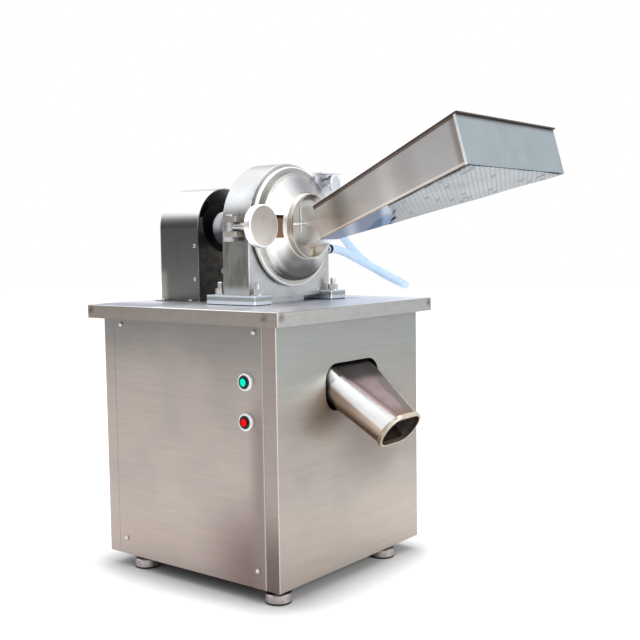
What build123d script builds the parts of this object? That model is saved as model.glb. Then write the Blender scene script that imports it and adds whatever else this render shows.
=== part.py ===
from build123d import *
import os
from math import atan2, cos, pi, radians, sin, sqrt, tan

# Spice grinding machine. Millimetres, +Z up, the front faces -Y and the push buttons face -X.
# The origin is on the floor, under the centre of the cabinet.

# Fits, and how far a cut runs past the face it opens
past = 1.0
hole_room = 0.1
running_clearance = 0.05
close_clearance = 0.3
plane_tolerance = 0.01

# Table and cabinet
table_height = 560.0
table_width = 520.0
table_depth = 532.0
table_sheet = 2.0
table_lip = 28.0
table_corner = 3.0
table_edge = 2.5
cabinet_width = 474.0
cabinet_depth = 482.0
cabinet_sheet = 1.5
cabinet_floor_gap = 28.0
cabinet_bend = 2.5
corner_return = 32.0
panel_seam = 0.5
panel_backing = 27.0
post_thickness = 3.0
post_front_leg = 30.0
panel_screw_edge = 22.0
panel_screw_drop = 39.0
panel_screw_rise = 34.5
panel_screw_head = 10.0
panel_screw_head_height = 3.0
panel_screw_crown = 1.8
panel_screw_shank = 4.8
screw_point = 3.0

# Base rails, feet and motor plate
rail_height = 30.0
rail_width = 50.0
rail_wall = 3.0
rail_outer_inset = 11.0
foot_inset_left = 29.0
foot_inset_right = 97.0
foot_inset_front = 29.0
foot_inset_rear = 84.0
foot_diameter = 52.0
foot_pad_height = 20.0
foot_pad_bevel = 1.5
foot_pad_edge = 1.0
foot_stem_diameter = 12.0
foot_stem_above_rail = 14.0
foot_nut_height = 7.0
foot_nut_flats = 19.0
motor_plate_thickness = 6.0
motor_plate_width = 250.0

# Push buttons and cable gland
button_y = -165.5
start_button_z = 424.0
stop_button_z = 347.5
bezel_diameter = 34.0
bezel_height = 6.0
bezel_edge = 2.0
barrel_diameter = 22.0
barrel_length = 24.0
guide_diameter = 26.0
guide_height = 7.5
guide_seat = 1.5
guide_edge = 1.0
cap_diameter = 17.6
cap_height = 9.0
cap_edge = 1.5
cap_stem_diameter = 8.0
cap_stem_reach = 8.0
cap_stem_room = 2.0
button_travel = 4.0
contact_block_size = 30.0
contact_block_depth = 32.0
gland_x = 150.0
gland_z = 120.0
gland_bore = 12.0
gland_thread = 20.0
gland_hole_room = 0.2
gland_flats = 27.0
gland_body = 7.0
gland_nose = 22.0
gland_nose_diameter = 23.0
gland_nose_round = 3.0
gland_tail = 10.0
gland_nut = 6.0

# Mill housing
mill_axis_rise = 158.0
pad_height = 2.0
pad_inset = 1.5
bar_height = 18.0
bar_width = 52.0
bar_inner = 98.0
bar_overhang = 31.0
bar_corner = 2.0
housing_radius = 131.0
housing_front = 82.0
housing_depth = 71.0
housing_wall = 5.0
front_plate = 6.0
rear_wall = 10.0
chamber_radius = 112.0
chamber_wall = 4.0
housing_edge = 2.0
hold_down_diameter = 12.0
hold_down_standing = 26.0
hold_down_flats = 19.0
hold_down_nut = 11.0
hold_down_bevel = 1.5
hold_down_washer = 24.0
washer_thickness = 2.0

# Discharge
outlet_width = 110.0
outlet_depth = 40.0
outlet_front_margin = 16.0
duct_wall = 3.0
duct_room = 1.0
duct_flange_thickness = 8.0
duct_flange_side_room = 1.0
duct_flange_inset = 0.5
duct_reach_below_table = 20.0
chute_slope = 35.4
chute_panel_drop = 164.0
chute_length = 142.0
chute_width = 162.0
chute_height = 66.0
chute_corner = 26.0
chute_mouth_width = 111.0
chute_mouth_height = 70.0
chute_mouth_corner = 33.0
chute_wall = 2.0
chute_rim_width = 4.0
chute_rim_depth = 9.0
chute_rim_round = 2.0
chute_flange_thickness = 4.0
chute_flange_margin = 14.0
chute_hole_margin_x = 9.0
chute_hole_margin_z = 6.8
chute_hole_lift = 2.0
chute_hole_corner = 36.0

# Shaft line
shaft_diameter = 25.0
bearing_outside = 52.0
bearing_width = 15.0
bearing_race = 4.2
bearing_balls = 9
bearing_tube_diameter = 77.0
bearing_tube_end = 102.0
bearing_flange_diameter = 124.0
bearing_flange_thickness = 9.0
bearing_inset = 12.0
bearing_cover_thickness = 6.0
flange_bolts = 6
flange_bolt_diameter = 8.0
seal_outside = 44.0
flange_bolt_flats = 13.0
flange_bolt_head = 5.5
flange_bolt_cover = 2.0
flange_bolt_end_room = 0.5
ball_room = 0.1
bearing_tube_bevel = 2.0
bearing_tube_room = 4.0
cover_shaft_room = 1.0
cover_inset = 2.0
shaft_tail = 2.0
shaft_nose_inset = 2.0
shaft_bevel = 1.5

# Grinding set
rotor_radius = 92.0
rotor_thickness = 8.0
rotor_hub_diameter = 48.0
rotor_hub_length = 8.0
rotor_rear_gap = 1.0
grinding_pin = 8.0
rotor_pin_length = 24.0
rotor_pin_rows = (60.0, 84.0)
stator_pin_rows = (48.0, 72.0)
stator_pin_length = 23.0
stator_thickness = 6.0
stator_hole_radius = 36.0
stator_seat = 1.0
pins_per_row = 12
rotor_nut_flats = 36.0
rotor_nut_length = 14.0
sieve_radius = 101.0
sieve_wall = 1.5
sieve_front_gap = 1.0
sieve_flange = 2.0
sieve_hole = 9.0
sieve_holes = 36
sieve_rows = 3

# Door and hinge
door_gap = 0.5
door_radius = 124.0
door_flange_thickness = 12.0
door_flange_face = 12.0
door_step = 10.0
door_wall = 4.0
door_edge = 2.0
collar_radius = 67.0
collar_wall = 3.0
collar_front = 142.0
collar_length = 13.0
collar_plate_recess = 9.0
collar_plate_overlap = 1.0
gasket_inner = 114.5
gasket_outer = 121.0
gasket_depth = 2.4
gasket_gap = 0.2
hinge_x = -150.0
hinge_y = -50.0
hinge_pin_diameter = 16.0
eye_radius = 15.0
eye_height = 18.0
eye_room = 3.0
clevis_lug = 11.0
clevis_round = 14.0
clevis_reach = 29.0
clevis_edge = 4.0
clevis_plate = 6.0
clevis_plate_margin = 2.0
hinge_pin_head = 24.0
hinge_pin_head_height = 9.0
hinge_pin_standing = 4.0
hinge_pin_edge = 2.0
eye_rod_diameter = 16.0
eye_rod_inset = 5.0
door_lug_height = 46.0
door_lug_front = 125.0
door_lug_depth = 19.0
door_lug_end = 16.0
hand_nut_diameter = 84.0
hand_nut_thickness = 17.0
hand_nut_edge = 2.5

# Latch
latch_x = 104.0
latch_rise = 92.0
latch_plate = 6.0
latch_plate_left = 62.0
latch_plate_right = 131.0
latch_plate_drop = 46.0
latch_web = 3.0
latch_web_depth = 24.0
latch_web_rise = 22.0
latch_knob_diameter = 35.0
latch_knob_length = 14.0
latch_knob_edge = 2.5
latch_neck_diameter = 25.0
latch_neck_length = 10.0
latch_screw_diameter = 12.0
latch_boss_radius = 20.0
latch_boss_depth = 30.0
latch_hole_room = 2.5
latch_hole_depth = 4.0
latch_engagement = 9.0

# Feed spout and trough
spout_width = 52.0
spout_top_rise = 41.0
trough_floor_drop = 42.0
trough_floor_y = 134.0
trough_slope = 15.5
spout_inner_end = 108.0
trough_start = 185.0
trough_length = 445.0
trough_end_width = 360.0
trough_start_wall = 70.0
trough_end_wall = 90.0
trough_sheet = 2.0
trough_lip = 3.0
trough_lip_thickness = 3.0
trough_end_lip = 4.0
trough_cut = 20.0

# Belt guard and drive
guard_radius = 88.0
guard_front = 104.0
guard_depth = 116.0
guard_sheet = 2.0
guard_plate_recess = 5.0
guard_plate_rise = 24.0
guard_notch_radius = 67.0
guard_notch_rise = 15.0
guard_flange = 20.0
guard_foot_inset = 16.0
guard_foot_screw_reach = 4.0
guard_screw_inset = 9.0
guard_screw_head = 9.0
guard_screw_shank = 4.8
guard_screw_height = 3.0
guard_screw_high = 38.0
guard_screw_low = 110.0
plate_screw_x = -10.0
plate_screw_drop = 94.0
plate_screw_head = 12.0
plate_screw_height = 4.0
plate_screw_shank = 6.0
plate_screw_flats = 10.0
plate_screw_nut = 4.0
guard_tab_depth = 12.0
guard_tab_high = 20.0
guard_tab_low = 130.0
belt_width = 13.0
belt_height = 8.0
belt_flank = 19.0
belt_pitch = 17.0
belt_count = 2
mill_pulley_radius = 54.0
motor_pulley_radius = 80.0
pulley_rim = 5.0
pulley_start = 128.0
belt_slot_room = 12.0

# Motor
motor_shaft_height = 112.0
motor_frame_radius = 88.0
motor_fin_height = 9.0
motor_fin_thickness = 4.0
motor_fins = 24
motor_frame_wall = 6.0
motor_front = 92.0
motor_frame_length = 200.0
motor_cover_thickness = 12.0
motor_cover_bevel = 5.0
motor_cowl_length = 62.0
motor_cowl_sheet = 2.0
motor_cowl_round = 8.0
motor_vent = 8.0
motor_vent_pitch = 20.0
motor_vent_radii = (25.0, 45.0, 65.0)
motor_stator_length = 130.0
motor_air_gap = 0.8
motor_rotor_radius = 52.0
motor_shaft_diameter = 28.0
motor_bearing_radius = 31.0
motor_bearing_seat = 4.0
motor_cover_room = 1.0
motor_foot_width = 186.0
motor_foot_height = 16.0
motor_foot_length = 36.0
motor_foot_inset = 20.0
motor_foot_web = 132.0
motor_fan_radius = 70.0
motor_fan_hub = 22.0
motor_fan_width = 24.0
motor_fan_sheet = 3.0
motor_fan_inset = 20.0
motor_blade_root = 1.0
motor_fan_blades = 7
terminal_box_size = 80.0
terminal_box_depth = 40.0
terminal_box_height = 56.0
terminal_box_sink = 2.0
terminal_box_round = 4.0

# Cooling hose and nipples on the housing's right side
hose_diameter = 19.0
nipple_y = -60.0
return_nipple_y = -36.0
nipple_drop = 49.0
return_nipple_rise = 17.0
nipple_flats = 22.0
nipple_flange_length = 10.0
nipple_barb_diameter = 13.0
nipple_barb_length = 12.0
nipple_bore = 8.0
clamp_band = 8.0
clamp_thickness = 1.4
clamp_setback = 3.0
hose_bend_share = 0.45

# Worked-out places
table_underside = table_height - table_sheet
half_cabinet_x = cabinet_width / 2
half_cabinet_y = cabinet_depth / 2
inner_x = half_cabinet_x - cabinet_sheet
inner_y = half_cabinet_y - cabinet_sheet
seam_y = half_cabinet_y - corner_return
axis_z = table_height + mill_axis_rise
pad_top = table_height + pad_height
bar_top = pad_top + bar_height
bar_centre = bar_inner + bar_width / 2
front_y = -housing_front
rear_y = front_y + housing_depth
chamber_back = rear_y - rear_wall
outlet_front = front_y + outlet_front_margin
outlet_back = outlet_front + outlet_depth
chute_panel_height = table_height - chute_panel_drop
rail_top = cabinet_floor_gap + rail_height
plate_top = rail_top + motor_plate_thickness
motor_z = plate_top + motor_shaft_height
motor_back = motor_front - motor_frame_length
pulley_width = belt_pitch * belt_count + 2 * pulley_rim
pulley_end = pulley_start + pulley_width
rotor_back = chamber_back - rotor_rear_gap - rotor_hub_length
rotor_face = rotor_back - rotor_thickness
door_back = front_y - door_gap
flange_face = door_back - door_flange_thickness
cone_base = flange_face - door_step
cone_radius = door_radius - door_flange_face
stator_radius = cone_radius - door_wall + stator_seat
latch_z = axis_z + latch_rise
guard_back = guard_front + guard_depth

nodes = {}


def add(name, shape):
    nodes[name] = shape


def group(shapes):
    return Compound(children=list(shapes))


def block(x0, x1, y0, y1, z0, z1):
    centre = Pos((x0 + x1) / 2, (y0 + y1) / 2, (z0 + z1) / 2)
    return centre * Box(abs(x1 - x0), abs(y1 - y0), abs(z1 - z0))


def rod_x(radius, x0, x1, y, z):
    return Pos((x0 + x1) / 2, y, z) * Rot(0, 90, 0) * Cylinder(radius, abs(x1 - x0))


def rod_y(radius, y0, y1, x=0.0, z=axis_z):
    return Pos(x, (y0 + y1) / 2, z) * Rot(90, 0, 0) * Cylinder(radius, abs(y1 - y0))


def rod_z(radius, z0, z1, x, y):
    return Pos(x, y, (z0 + z1) / 2) * Cylinder(radius, abs(z1 - z0))


def ring_y(outer, inner, y0, y1, x=0.0, z=axis_z):
    return rod_y(outer, y0, y1, x, z) - rod_y(inner, y0 - past, y1 + past, x, z)


def hex_prism(flats, height):
    return extrude(RegularPolygon(flats / 2, 6, major_radius=False), height)


def hex_y(flats, y0, y1, x=0.0, z=axis_z):
    return Pos(x, y1, z) * Rot(90, 0, 0) * hex_prism(flats, y1 - y0)


def hex_x(flats, x0, x1, y, z):
    return Pos(x0, y, z) * Rot(0, 90, 0) * hex_prism(flats, x1 - x0)


def hex_z(flats, z0, z1, x, y):
    return Pos(x, y, z0) * hex_prism(flats, z1 - z0)


def edges_on_plane(shape, axis, value):
    return shape.edges().filter_by_position(axis, value - plane_tolerance, value + plane_tolerance)


# Cabinet: two folded sheets, two flat side panels, four angle posts
def chute_hole(y0, y1):
    height = chute_height / cos(radians(chute_slope)) + 2 * chute_hole_margin_z
    width = chute_width + 2 * chute_hole_margin_x
    outline = Plane.XZ * RectangleRounded(width, height, chute_hole_corner)
    return Pos(0, y1, chute_panel_height + chute_hole_lift) * extrude(outline, y1 - y0)


def folded_sheet(side):
    outer = block(-half_cabinet_x, half_cabinet_x, side * half_cabinet_y, side * seam_y,
                  cabinet_floor_gap, table_underside)
    outer = fillet(outer.edges().filter_by(Axis.Z).group_by(Axis.Y)[-1 if side > 0 else 0], cabinet_bend)
    inner = block(-inner_x, inner_x, side * inner_y, side * (seam_y - past),
                  cabinet_floor_gap - past, table_underside + past)
    return outer - inner


def screw_places():
    for y in (-seam_y + panel_screw_edge, seam_y - panel_screw_edge):
        for z in (cabinet_floor_gap + panel_screw_rise, table_underside - panel_screw_drop):
            yield y, z


def side_panel(side):
    y1 = seam_y - panel_seam
    panel = block(side * half_cabinet_x, side * inner_x, -y1, y1, cabinet_floor_gap, table_underside)
    hole = panel_screw_shank / 2 + hole_room
    for y, z in screw_places():
        panel -= rod_x(hole, side * (inner_x - past), side * (half_cabinet_x + past), y, z)
    return panel


def corner_post(side_x, side_y):
    reach = corner_return - cabinet_sheet + panel_backing
    face_leg = block(side_x * inner_x, side_x * (inner_x - post_front_leg),
                     side_y * inner_y, side_y * (inner_y - post_thickness),
                     cabinet_floor_gap, table_underside)
    side_leg = block(side_x * inner_x, side_x * (inner_x - post_thickness),
                     side_y * inner_y, side_y * (inner_y - reach), cabinet_floor_gap, table_underside)
    post = face_leg + side_leg
    hole = panel_screw_shank / 2 + hole_room
    inside = inner_x - post_thickness
    for y, z in screw_places():
        post -= rod_x(hole, side_x * (inside - past), side_x * (inner_x + past), y, z)
    return post


def panel_screw(side, y, z):
    crown = side * (half_cabinet_x + panel_screw_head_height)
    head = rod_x(panel_screw_head / 2, side * half_cabinet_x, crown, y, z)
    head = fillet(edges_on_plane(head, Axis.X, crown), panel_screw_crown)
    point = side * (inner_x - post_thickness - screw_point)
    shank = rod_x(panel_screw_shank / 2, side * half_cabinet_x, point, y, z)
    return head + shank


def cabinet():
    front = folded_sheet(-1) - chute_hole(-half_cabinet_y - past, -inner_y + past)
    rear = folded_sheet(1)
    gland_hole = gland_thread / 2 + gland_hole_room
    rear -= rod_y(gland_hole, inner_y - past, half_cabinet_y + past, gland_x, gland_z)
    add("front_sheet", front)
    add("rear_sheet", rear)
    access = side_panel(-1)
    button_hole = barrel_diameter / 2 + hole_room
    for z in (start_button_z, stop_button_z):
        access -= rod_x(button_hole, -half_cabinet_x - past, -inner_x + past, button_y, z)
    add("access_panel", access)
    add("right_panel", side_panel(1))
    add("corner_posts", group(corner_post(x, y) for x in (-1, 1) for y in (-1, 1)))
    add("panel_screws", group(panel_screw(side, y, z) for side in (-1, 1) for y, z in screw_places()))


# Table top: one tray-shaped sheet with openings for the outlet duct, the belts and the bolts
def hold_down_places():
    for x in (-bar_centre, bar_centre):
        for y in (front_y - bar_overhang / 2, rear_y + bar_overhang / 2):
            yield x, y


def belt_half_width(z):
    share = (axis_z - z) / (axis_z - motor_z)
    return mill_pulley_radius + (motor_pulley_radius - mill_pulley_radius) * share


def table_top():
    tray = block(-table_width / 2, table_width / 2, -table_depth / 2, table_depth / 2,
                 table_height - table_lip, table_height)
    tray = fillet(tray.edges().filter_by(Axis.Z), table_corner)
    tray = fillet(tray.faces().sort_by(Axis.Z)[-1].edges(), table_edge)
    tray -= block(-table_width / 2 + table_sheet, table_width / 2 - table_sheet,
                  -table_depth / 2 + table_sheet, table_depth / 2 - table_sheet,
                  table_height - table_lip - past, table_underside)
    room = duct_wall + duct_room
    tray -= block(-outlet_width / 2 - room, outlet_width / 2 + room,
                  outlet_front - room, outlet_back + room, table_underside - past, table_height + past)
    slot = belt_half_width(table_height) + belt_slot_room
    tray -= block(-slot, slot, pulley_start, pulley_end, table_underside - past, table_height + past)
    for x, y in hold_down_places():
        tray -= rod_z(hold_down_diameter / 2 + hole_room, table_underside - past, table_height + past, x, y)
    for x, y in guard_foot_places():
        tray -= rod_z(guard_screw_shank / 2 + hole_room, table_underside - past, table_height + past, x, y)
    add("table_top", tray)


# Base: two cross rails, the rear one wider, four levelling feet with lock nuts, the motor plate
def foot_places():
    for x in (foot_inset_left - half_cabinet_x, half_cabinet_x - foot_inset_right):
        for y in (foot_inset_front - half_cabinet_y, half_cabinet_y - foot_inset_rear):
            yield x, y


def base_rail(side):
    foot_y = half_cabinet_y - (foot_inset_rear if side > 0 else foot_inset_front)
    outside = half_cabinet_y - rail_outer_inset
    inside = min(foot_y - rail_width / 2, outside - rail_width)
    half = inner_x - post_thickness
    tube = block(-half, half, side * inside, side * outside, cabinet_floor_gap, rail_top)
    tube -= block(-half - past, half + past, side * (inside + rail_wall), side * (outside - rail_wall),
                  cabinet_floor_gap + rail_wall, rail_top - rail_wall)
    for x, foot_y in foot_places():
        if foot_y * side > 0:
            hole_top = cabinet_floor_gap + rail_wall + past
            tube -= rod_z(foot_stem_diameter / 2 + hole_room, cabinet_floor_gap - past, hole_top, x, foot_y)
    return tube


def levelling_foot(x, y):
    pad = rod_z(foot_diameter / 2, 0, foot_pad_height, x, y)
    pad = chamfer(edges_on_plane(pad, Axis.Z, foot_pad_height), foot_pad_bevel)
    pad = fillet(edges_on_plane(pad, Axis.Z, 0), foot_pad_edge)
    stem = rod_z(foot_stem_diameter / 2, foot_pad_height, cabinet_floor_gap + foot_stem_above_rail, x, y)
    return pad + stem


def foot_nut(x, y):
    nut = hex_z(foot_nut_flats, cabinet_floor_gap - foot_nut_height, cabinet_floor_gap, x, y)
    return nut - rod_z(foot_stem_diameter / 2 + running_clearance, 0, cabinet_floor_gap + past, x, y)


def base():
    add("base_rails", group(base_rail(side) for side in (-1, 1)))
    feet = [levelling_foot(x, y) for x, y in foot_places()]
    add("levelling_feet", group(feet + [foot_nut(x, y) for x, y in foot_places()]))
    reach = half_cabinet_y - rail_outer_inset
    half = motor_plate_width / 2
    add("motor_plate", block(-half, half, -reach, reach, rail_top, plate_top))


# Push buttons: pale ring, dark guide, moving cap and contact block behind the panel
def button_pieces(z):
    face = -half_cabinet_x
    barrel_end = face + barrel_length
    ring = rod_x(bezel_diameter / 2, face - bezel_height, face, button_y, z)
    ring = fillet(edges_on_plane(ring, Axis.X, face - bezel_height), bezel_edge)
    ring += rod_x(barrel_diameter / 2, face, barrel_end, button_y, z)
    ring -= rod_x(guide_diameter / 2, face - bezel_height - past, face - guide_seat, button_y, z)
    cap_bore = cap_diameter / 2 + close_clearance
    ring -= rod_x(cap_bore, face - guide_seat - past, barrel_end + past, button_y, z)
    guide = rod_x(guide_diameter / 2, face - guide_height, face - guide_seat, button_y, z)
    guide = fillet(edges_on_plane(guide, Axis.X, face - guide_height), guide_edge)
    guide -= rod_x(cap_bore, face - guide_height - past, face, button_y, z)
    cap = rod_x(cap_diameter / 2, face - cap_height, face + barrel_length / 2, button_y, z)
    cap = fillet(edges_on_plane(cap, Axis.X, face - cap_height), cap_edge)
    cap += rod_x(cap_stem_diameter / 2, face + barrel_length / 2, barrel_end + cap_stem_reach, button_y, z)
    half = contact_block_size / 2
    contact = block(-inner_x, barrel_end + contact_block_depth, button_y - half, button_y + half,
                    z - half, z + half)
    contact -= rod_x(barrel_diameter / 2 + running_clearance, face, barrel_end, button_y, z)
    plunger_end = barrel_end + cap_stem_reach + button_travel + cap_stem_room
    contact -= rod_x(cap_stem_diameter / 2 + close_clearance, face, plunger_end, button_y, z)
    return ring, guide, cap, contact


def push_buttons():
    start = button_pieces(start_button_z)
    stop = button_pieces(stop_button_z)
    add("button_rings", group([start[0], stop[0]]))
    add("button_guides", group([start[1], stop[1]]))
    add("start_button_cap", start[2])
    add("stop_button_cap", stop[2])
    add("contact_blocks", group([start[3], stop[3]]))


def cable_gland():
    outside = half_cabinet_y
    body = hex_y(gland_flats, outside, outside + gland_body, gland_x, gland_z)
    nose = rod_y(gland_nose_diameter / 2, outside + gland_body, outside + gland_nose, gland_x, gland_z)
    nose = fillet(edges_on_plane(nose, Axis.Y, outside + gland_nose), gland_nose_round)
    body += nose
    body += rod_y(gland_thread / 2, inner_y - gland_tail, outside, gland_x, gland_z)
    body += hex_y(gland_flats, inner_y - gland_nut, inner_y, gland_x, gland_z)
    inside = inner_y - gland_tail
    body -= rod_y(gland_bore / 2, inside - past, outside + gland_nose + past, gland_x, gland_z)
    add("cable_gland", body)


# Mill housing: round-topped casing with a chamber bore, a water space and an outlet passage
def tombstone(radius, y0, y1, bottom):
    return rod_y(radius, y0, y1) + block(-radius, radius, y0, y1, bottom, axis_z)


def mill_housing():
    body = tombstone(housing_radius, front_y, rear_y, bar_top)
    arch_edge = edges_on_plane(body, Axis.Y, front_y).filter_by(GeomType.CIRCLE)
    body = fillet(arch_edge, housing_edge)
    body += rod_y(latch_boss_radius, front_y, front_y + latch_boss_depth, latch_x, latch_z)
    water = tombstone(housing_radius - housing_wall, front_y + front_plate, rear_y - rear_wall,
                      bar_top + housing_wall)
    water -= rod_y(chamber_radius + chamber_wall, front_y, rear_y)
    water -= block(-outlet_width / 2 - chamber_wall, outlet_width / 2 + chamber_wall,
                   outlet_front - chamber_wall, outlet_back + chamber_wall, bar_top, axis_z)
    body -= water
    body -= rod_y(chamber_radius, front_y - past, chamber_back)
    body -= block(-outlet_width / 2, outlet_width / 2, outlet_front, outlet_back,
                  bar_top - past, axis_z - chamber_radius / 2)
    body -= rod_y(seal_outside / 2, chamber_back - past, rear_y + past)
    hole_end = front_y + latch_engagement + latch_hole_depth
    body -= rod_y(latch_screw_diameter / 2 + latch_hole_room, front_y - past, hole_end, latch_x, latch_z)
    for y, z in nipple_places():
        body -= rod_x(nipple_bore / 2, housing_radius - housing_wall - past, housing_radius + past, y, z)
    bolt_hole = flange_bolt_diameter / 2 + hole_room
    for x, z in flange_bolt_places():
        body -= rod_y(bolt_hole, chamber_back + flange_bolt_cover, rear_y + past, x, z)
    add("mill_housing", body)


def foot_bar(side):
    bar = block(side * bar_inner, side * (bar_inner + bar_width),
                front_y - bar_overhang, rear_y + bar_overhang, pad_top, bar_top)
    bar = fillet(bar.edges().filter_by(Axis.Z), bar_corner)
    for x, y in hold_down_places():
        bar -= rod_z(hold_down_diameter / 2 + hole_room, pad_top - past, bar_top + past, x, y)
    return bar


def bar_pad(side):
    inset = pad_inset
    pad = block(side * (bar_inner + inset), side * (bar_inner + bar_width - inset),
                front_y - bar_overhang + inset, rear_y + bar_overhang - inset, table_height, pad_top)
    for x, y in hold_down_places():
        pad -= rod_z(hold_down_diameter / 2 + hole_room, table_height - past, pad_top + past, x, y)
    return pad


def hold_down_bolt(x, y):
    under = table_underside - hold_down_nut
    stud = rod_z(hold_down_diameter / 2, under, bar_top + hold_down_standing, x, y)
    stud = chamfer(edges_on_plane(stud, Axis.Z, bar_top + hold_down_standing), hold_down_bevel)
    return stud + hex_z(hold_down_flats, under, table_underside, x, y)


def hold_down_nut_set(x, y):
    washer = rod_z(hold_down_washer / 2, bar_top, bar_top + washer_thickness, x, y)
    seat = bar_top + washer_thickness
    nut = hex_z(hold_down_flats, seat, seat + hold_down_nut, x, y)
    hole_top = seat + hold_down_nut + past
    return washer + nut - rod_z(hold_down_diameter / 2 + running_clearance, bar_top - past, hole_top, x, y)


def mill_feet():
    add("foot_bars", group(foot_bar(side) for side in (-1, 1)))
    add("bar_pads", group(bar_pad(side) for side in (-1, 1)))
    bolts = [hold_down_bolt(x, y) for x, y in hold_down_places()]
    add("hold_down_bolts", group(bolts + [hold_down_nut_set(x, y) for x, y in hold_down_places()]))


# Outlet duct under the housing and the sloping chute that leaves through the front sheet
def outlet_duct():
    tube = block(-outlet_width / 2 - duct_wall, outlet_width / 2 + duct_wall, outlet_front - duct_wall,
                 outlet_back + duct_wall, table_underside - duct_reach_below_table, bar_top)
    half = bar_inner - duct_flange_side_room
    flange = block(-half, half, front_y + duct_flange_inset, rear_y - duct_flange_inset,
                   bar_top - duct_flange_thickness, bar_top)
    passage = block(-outlet_width / 2, outlet_width / 2, outlet_front, outlet_back,
                    table_underside - duct_reach_below_table - past, bar_top + past)
    add("outlet_duct", tube + flange - passage)


def chute_plane(along):
    slope = radians(chute_slope)
    centre = (0, -half_cabinet_y - along * cos(slope), chute_panel_height - along * sin(slope))
    return Plane(origin=centre, x_dir=(1, 0, 0), z_dir=(0, -cos(slope), -sin(slope)))


def chute_solid(inset, extra):
    start = chute_plane(0) * RectangleRounded(chute_width - 2 * inset, chute_height - 2 * inset,
                                              chute_corner - inset)
    mouth = RectangleRounded(chute_mouth_width - 2 * inset, chute_mouth_height - 2 * inset,
                             chute_mouth_corner - inset)
    solid = loft([start, chute_plane(chute_length) * mouth])
    run = (table_underside - chute_panel_height + chute_height) / sin(radians(chute_slope))
    solid += extrude(start, -run)
    if extra:
        solid += extrude(chute_plane(chute_length) * mouth, extra)
    return solid


def discharge_chute():
    top = table_underside - chute_flange_thickness
    outer = chute_solid(0, 0)
    rim_outline = RectangleRounded(chute_mouth_width + 2 * chute_rim_width,
                                   chute_mouth_height + 2 * chute_rim_width,
                                   chute_mouth_corner + chute_rim_width)
    rim = extrude(chute_plane(chute_length - chute_rim_depth) * rim_outline, chute_rim_depth)
    ends = rim.faces().sort_by(Axis((0, 0, 0), chute_plane(0).z_dir))
    rim = fillet(ends[0].edges() + ends[-1].edges(), chute_rim_round)
    outer = outer + rim
    outer &= block(-table_width, table_width, -2 * table_depth, table_depth, 0, top)
    inner = chute_solid(chute_wall, chute_rim_depth)
    shell = outer - inner
    slope = tan(radians(chute_slope))
    drop = chute_height / 2 / cos(radians(chute_slope))
    front_reach = -half_cabinet_y + (top - chute_panel_height - drop) / slope
    back_reach = -half_cabinet_y + (top - chute_panel_height + drop) / slope
    margin = chute_flange_margin
    flange = block(-chute_width / 2 - margin, chute_width / 2 + margin,
                   front_reach - margin, back_reach + margin, top, table_underside)
    room = duct_wall + duct_room
    flange -= block(-outlet_width / 2 - room, outlet_width / 2 + room,
                    outlet_front - room, outlet_back + room, top - past, table_underside + past)
    add("discharge_chute", shell + flange)


# Shaft line: bearing tube, two ball bearings, cover, seal, shaft, pulley
def flange_bolt_places():
    radius = (bearing_tube_diameter + bearing_flange_diameter) / 4
    for k in range(flange_bolts):
        turn = 2 * pi * (k + 0.5) / flange_bolts
        yield radius * cos(turn), axis_z + radius * sin(turn)


def bearing_starts():
    yield rear_y + bearing_inset
    yield bearing_tube_end - bearing_inset - bearing_width


def bearing_tube():
    body = rod_y(bearing_tube_diameter / 2, rear_y, bearing_tube_end)
    body = chamfer(edges_on_plane(body, Axis.Y, bearing_tube_end), bearing_tube_bevel)
    body += rod_y(bearing_flange_diameter / 2, rear_y, rear_y + bearing_flange_thickness)
    body -= rod_y(shaft_diameter / 2 + bearing_tube_room, rear_y - past, bearing_tube_end + past)
    starts = list(bearing_starts())
    body -= rod_y(bearing_outside / 2, rear_y - past, starts[0] + bearing_width)
    body -= rod_y(bearing_outside / 2, starts[1], bearing_tube_end + past)
    for x, z in flange_bolt_places():
        hole_end = rear_y + bearing_flange_thickness + past
        body -= rod_y(flange_bolt_diameter / 2 + hole_room, rear_y - past, hole_end, x, z)
    add("bearing_tube", body)
    add("bearing_bolts", group(flange_bolt(x, z) for x, z in flange_bolt_places()))


def flange_bolt(x, z):
    seat = rear_y + bearing_flange_thickness
    head = hex_y(flange_bolt_flats, seat, seat + flange_bolt_head, x, z)
    end = chamber_back + flange_bolt_cover + flange_bolt_end_room
    return head + rod_y(flange_bolt_diameter / 2, end, seat, x, z)


def ball_bearings():
    outer_rings = []
    inner_rings = []
    balls = []
    bore = shaft_diameter / 2
    outside = bearing_outside / 2
    pitch = (bore + outside) / 2
    ball_radius = pitch - bore - bearing_race - ball_room
    for start in bearing_starts():
        end = start + bearing_width
        outer_rings.append(ring_y(outside, outside - bearing_race, start, end))
        inner_rings.append(ring_y(bore + bearing_race, bore, start, end))
        for k in range(bearing_balls):
            turn = 2 * pi * k / bearing_balls
            place = Pos(pitch * cos(turn), (start + end) / 2, axis_z + pitch * sin(turn))
            balls.append(place * Sphere(ball_radius))
    add("bearing_outer_rings", group(outer_rings))
    add("bearing_balls", group(balls))
    add("bearing_inner_rings", group(inner_rings))


def bearing_cover():
    starts = list(bearing_starts())
    start = starts[1] + bearing_width
    cover = ring_y(bearing_outside / 2, shaft_diameter / 2 + cover_shaft_room, start, bearing_tube_end)
    cover += ring_y(bearing_tube_diameter / 2 - cover_inset, shaft_diameter / 2 + cover_shaft_room,
                    bearing_tube_end, bearing_tube_end + bearing_cover_thickness)
    add("bearing_cover", cover)
    seal_bore = shaft_diameter / 2 + running_clearance
    add("shaft_seal", ring_y(seal_outside / 2, seal_bore, chamber_back, rear_y))


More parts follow.
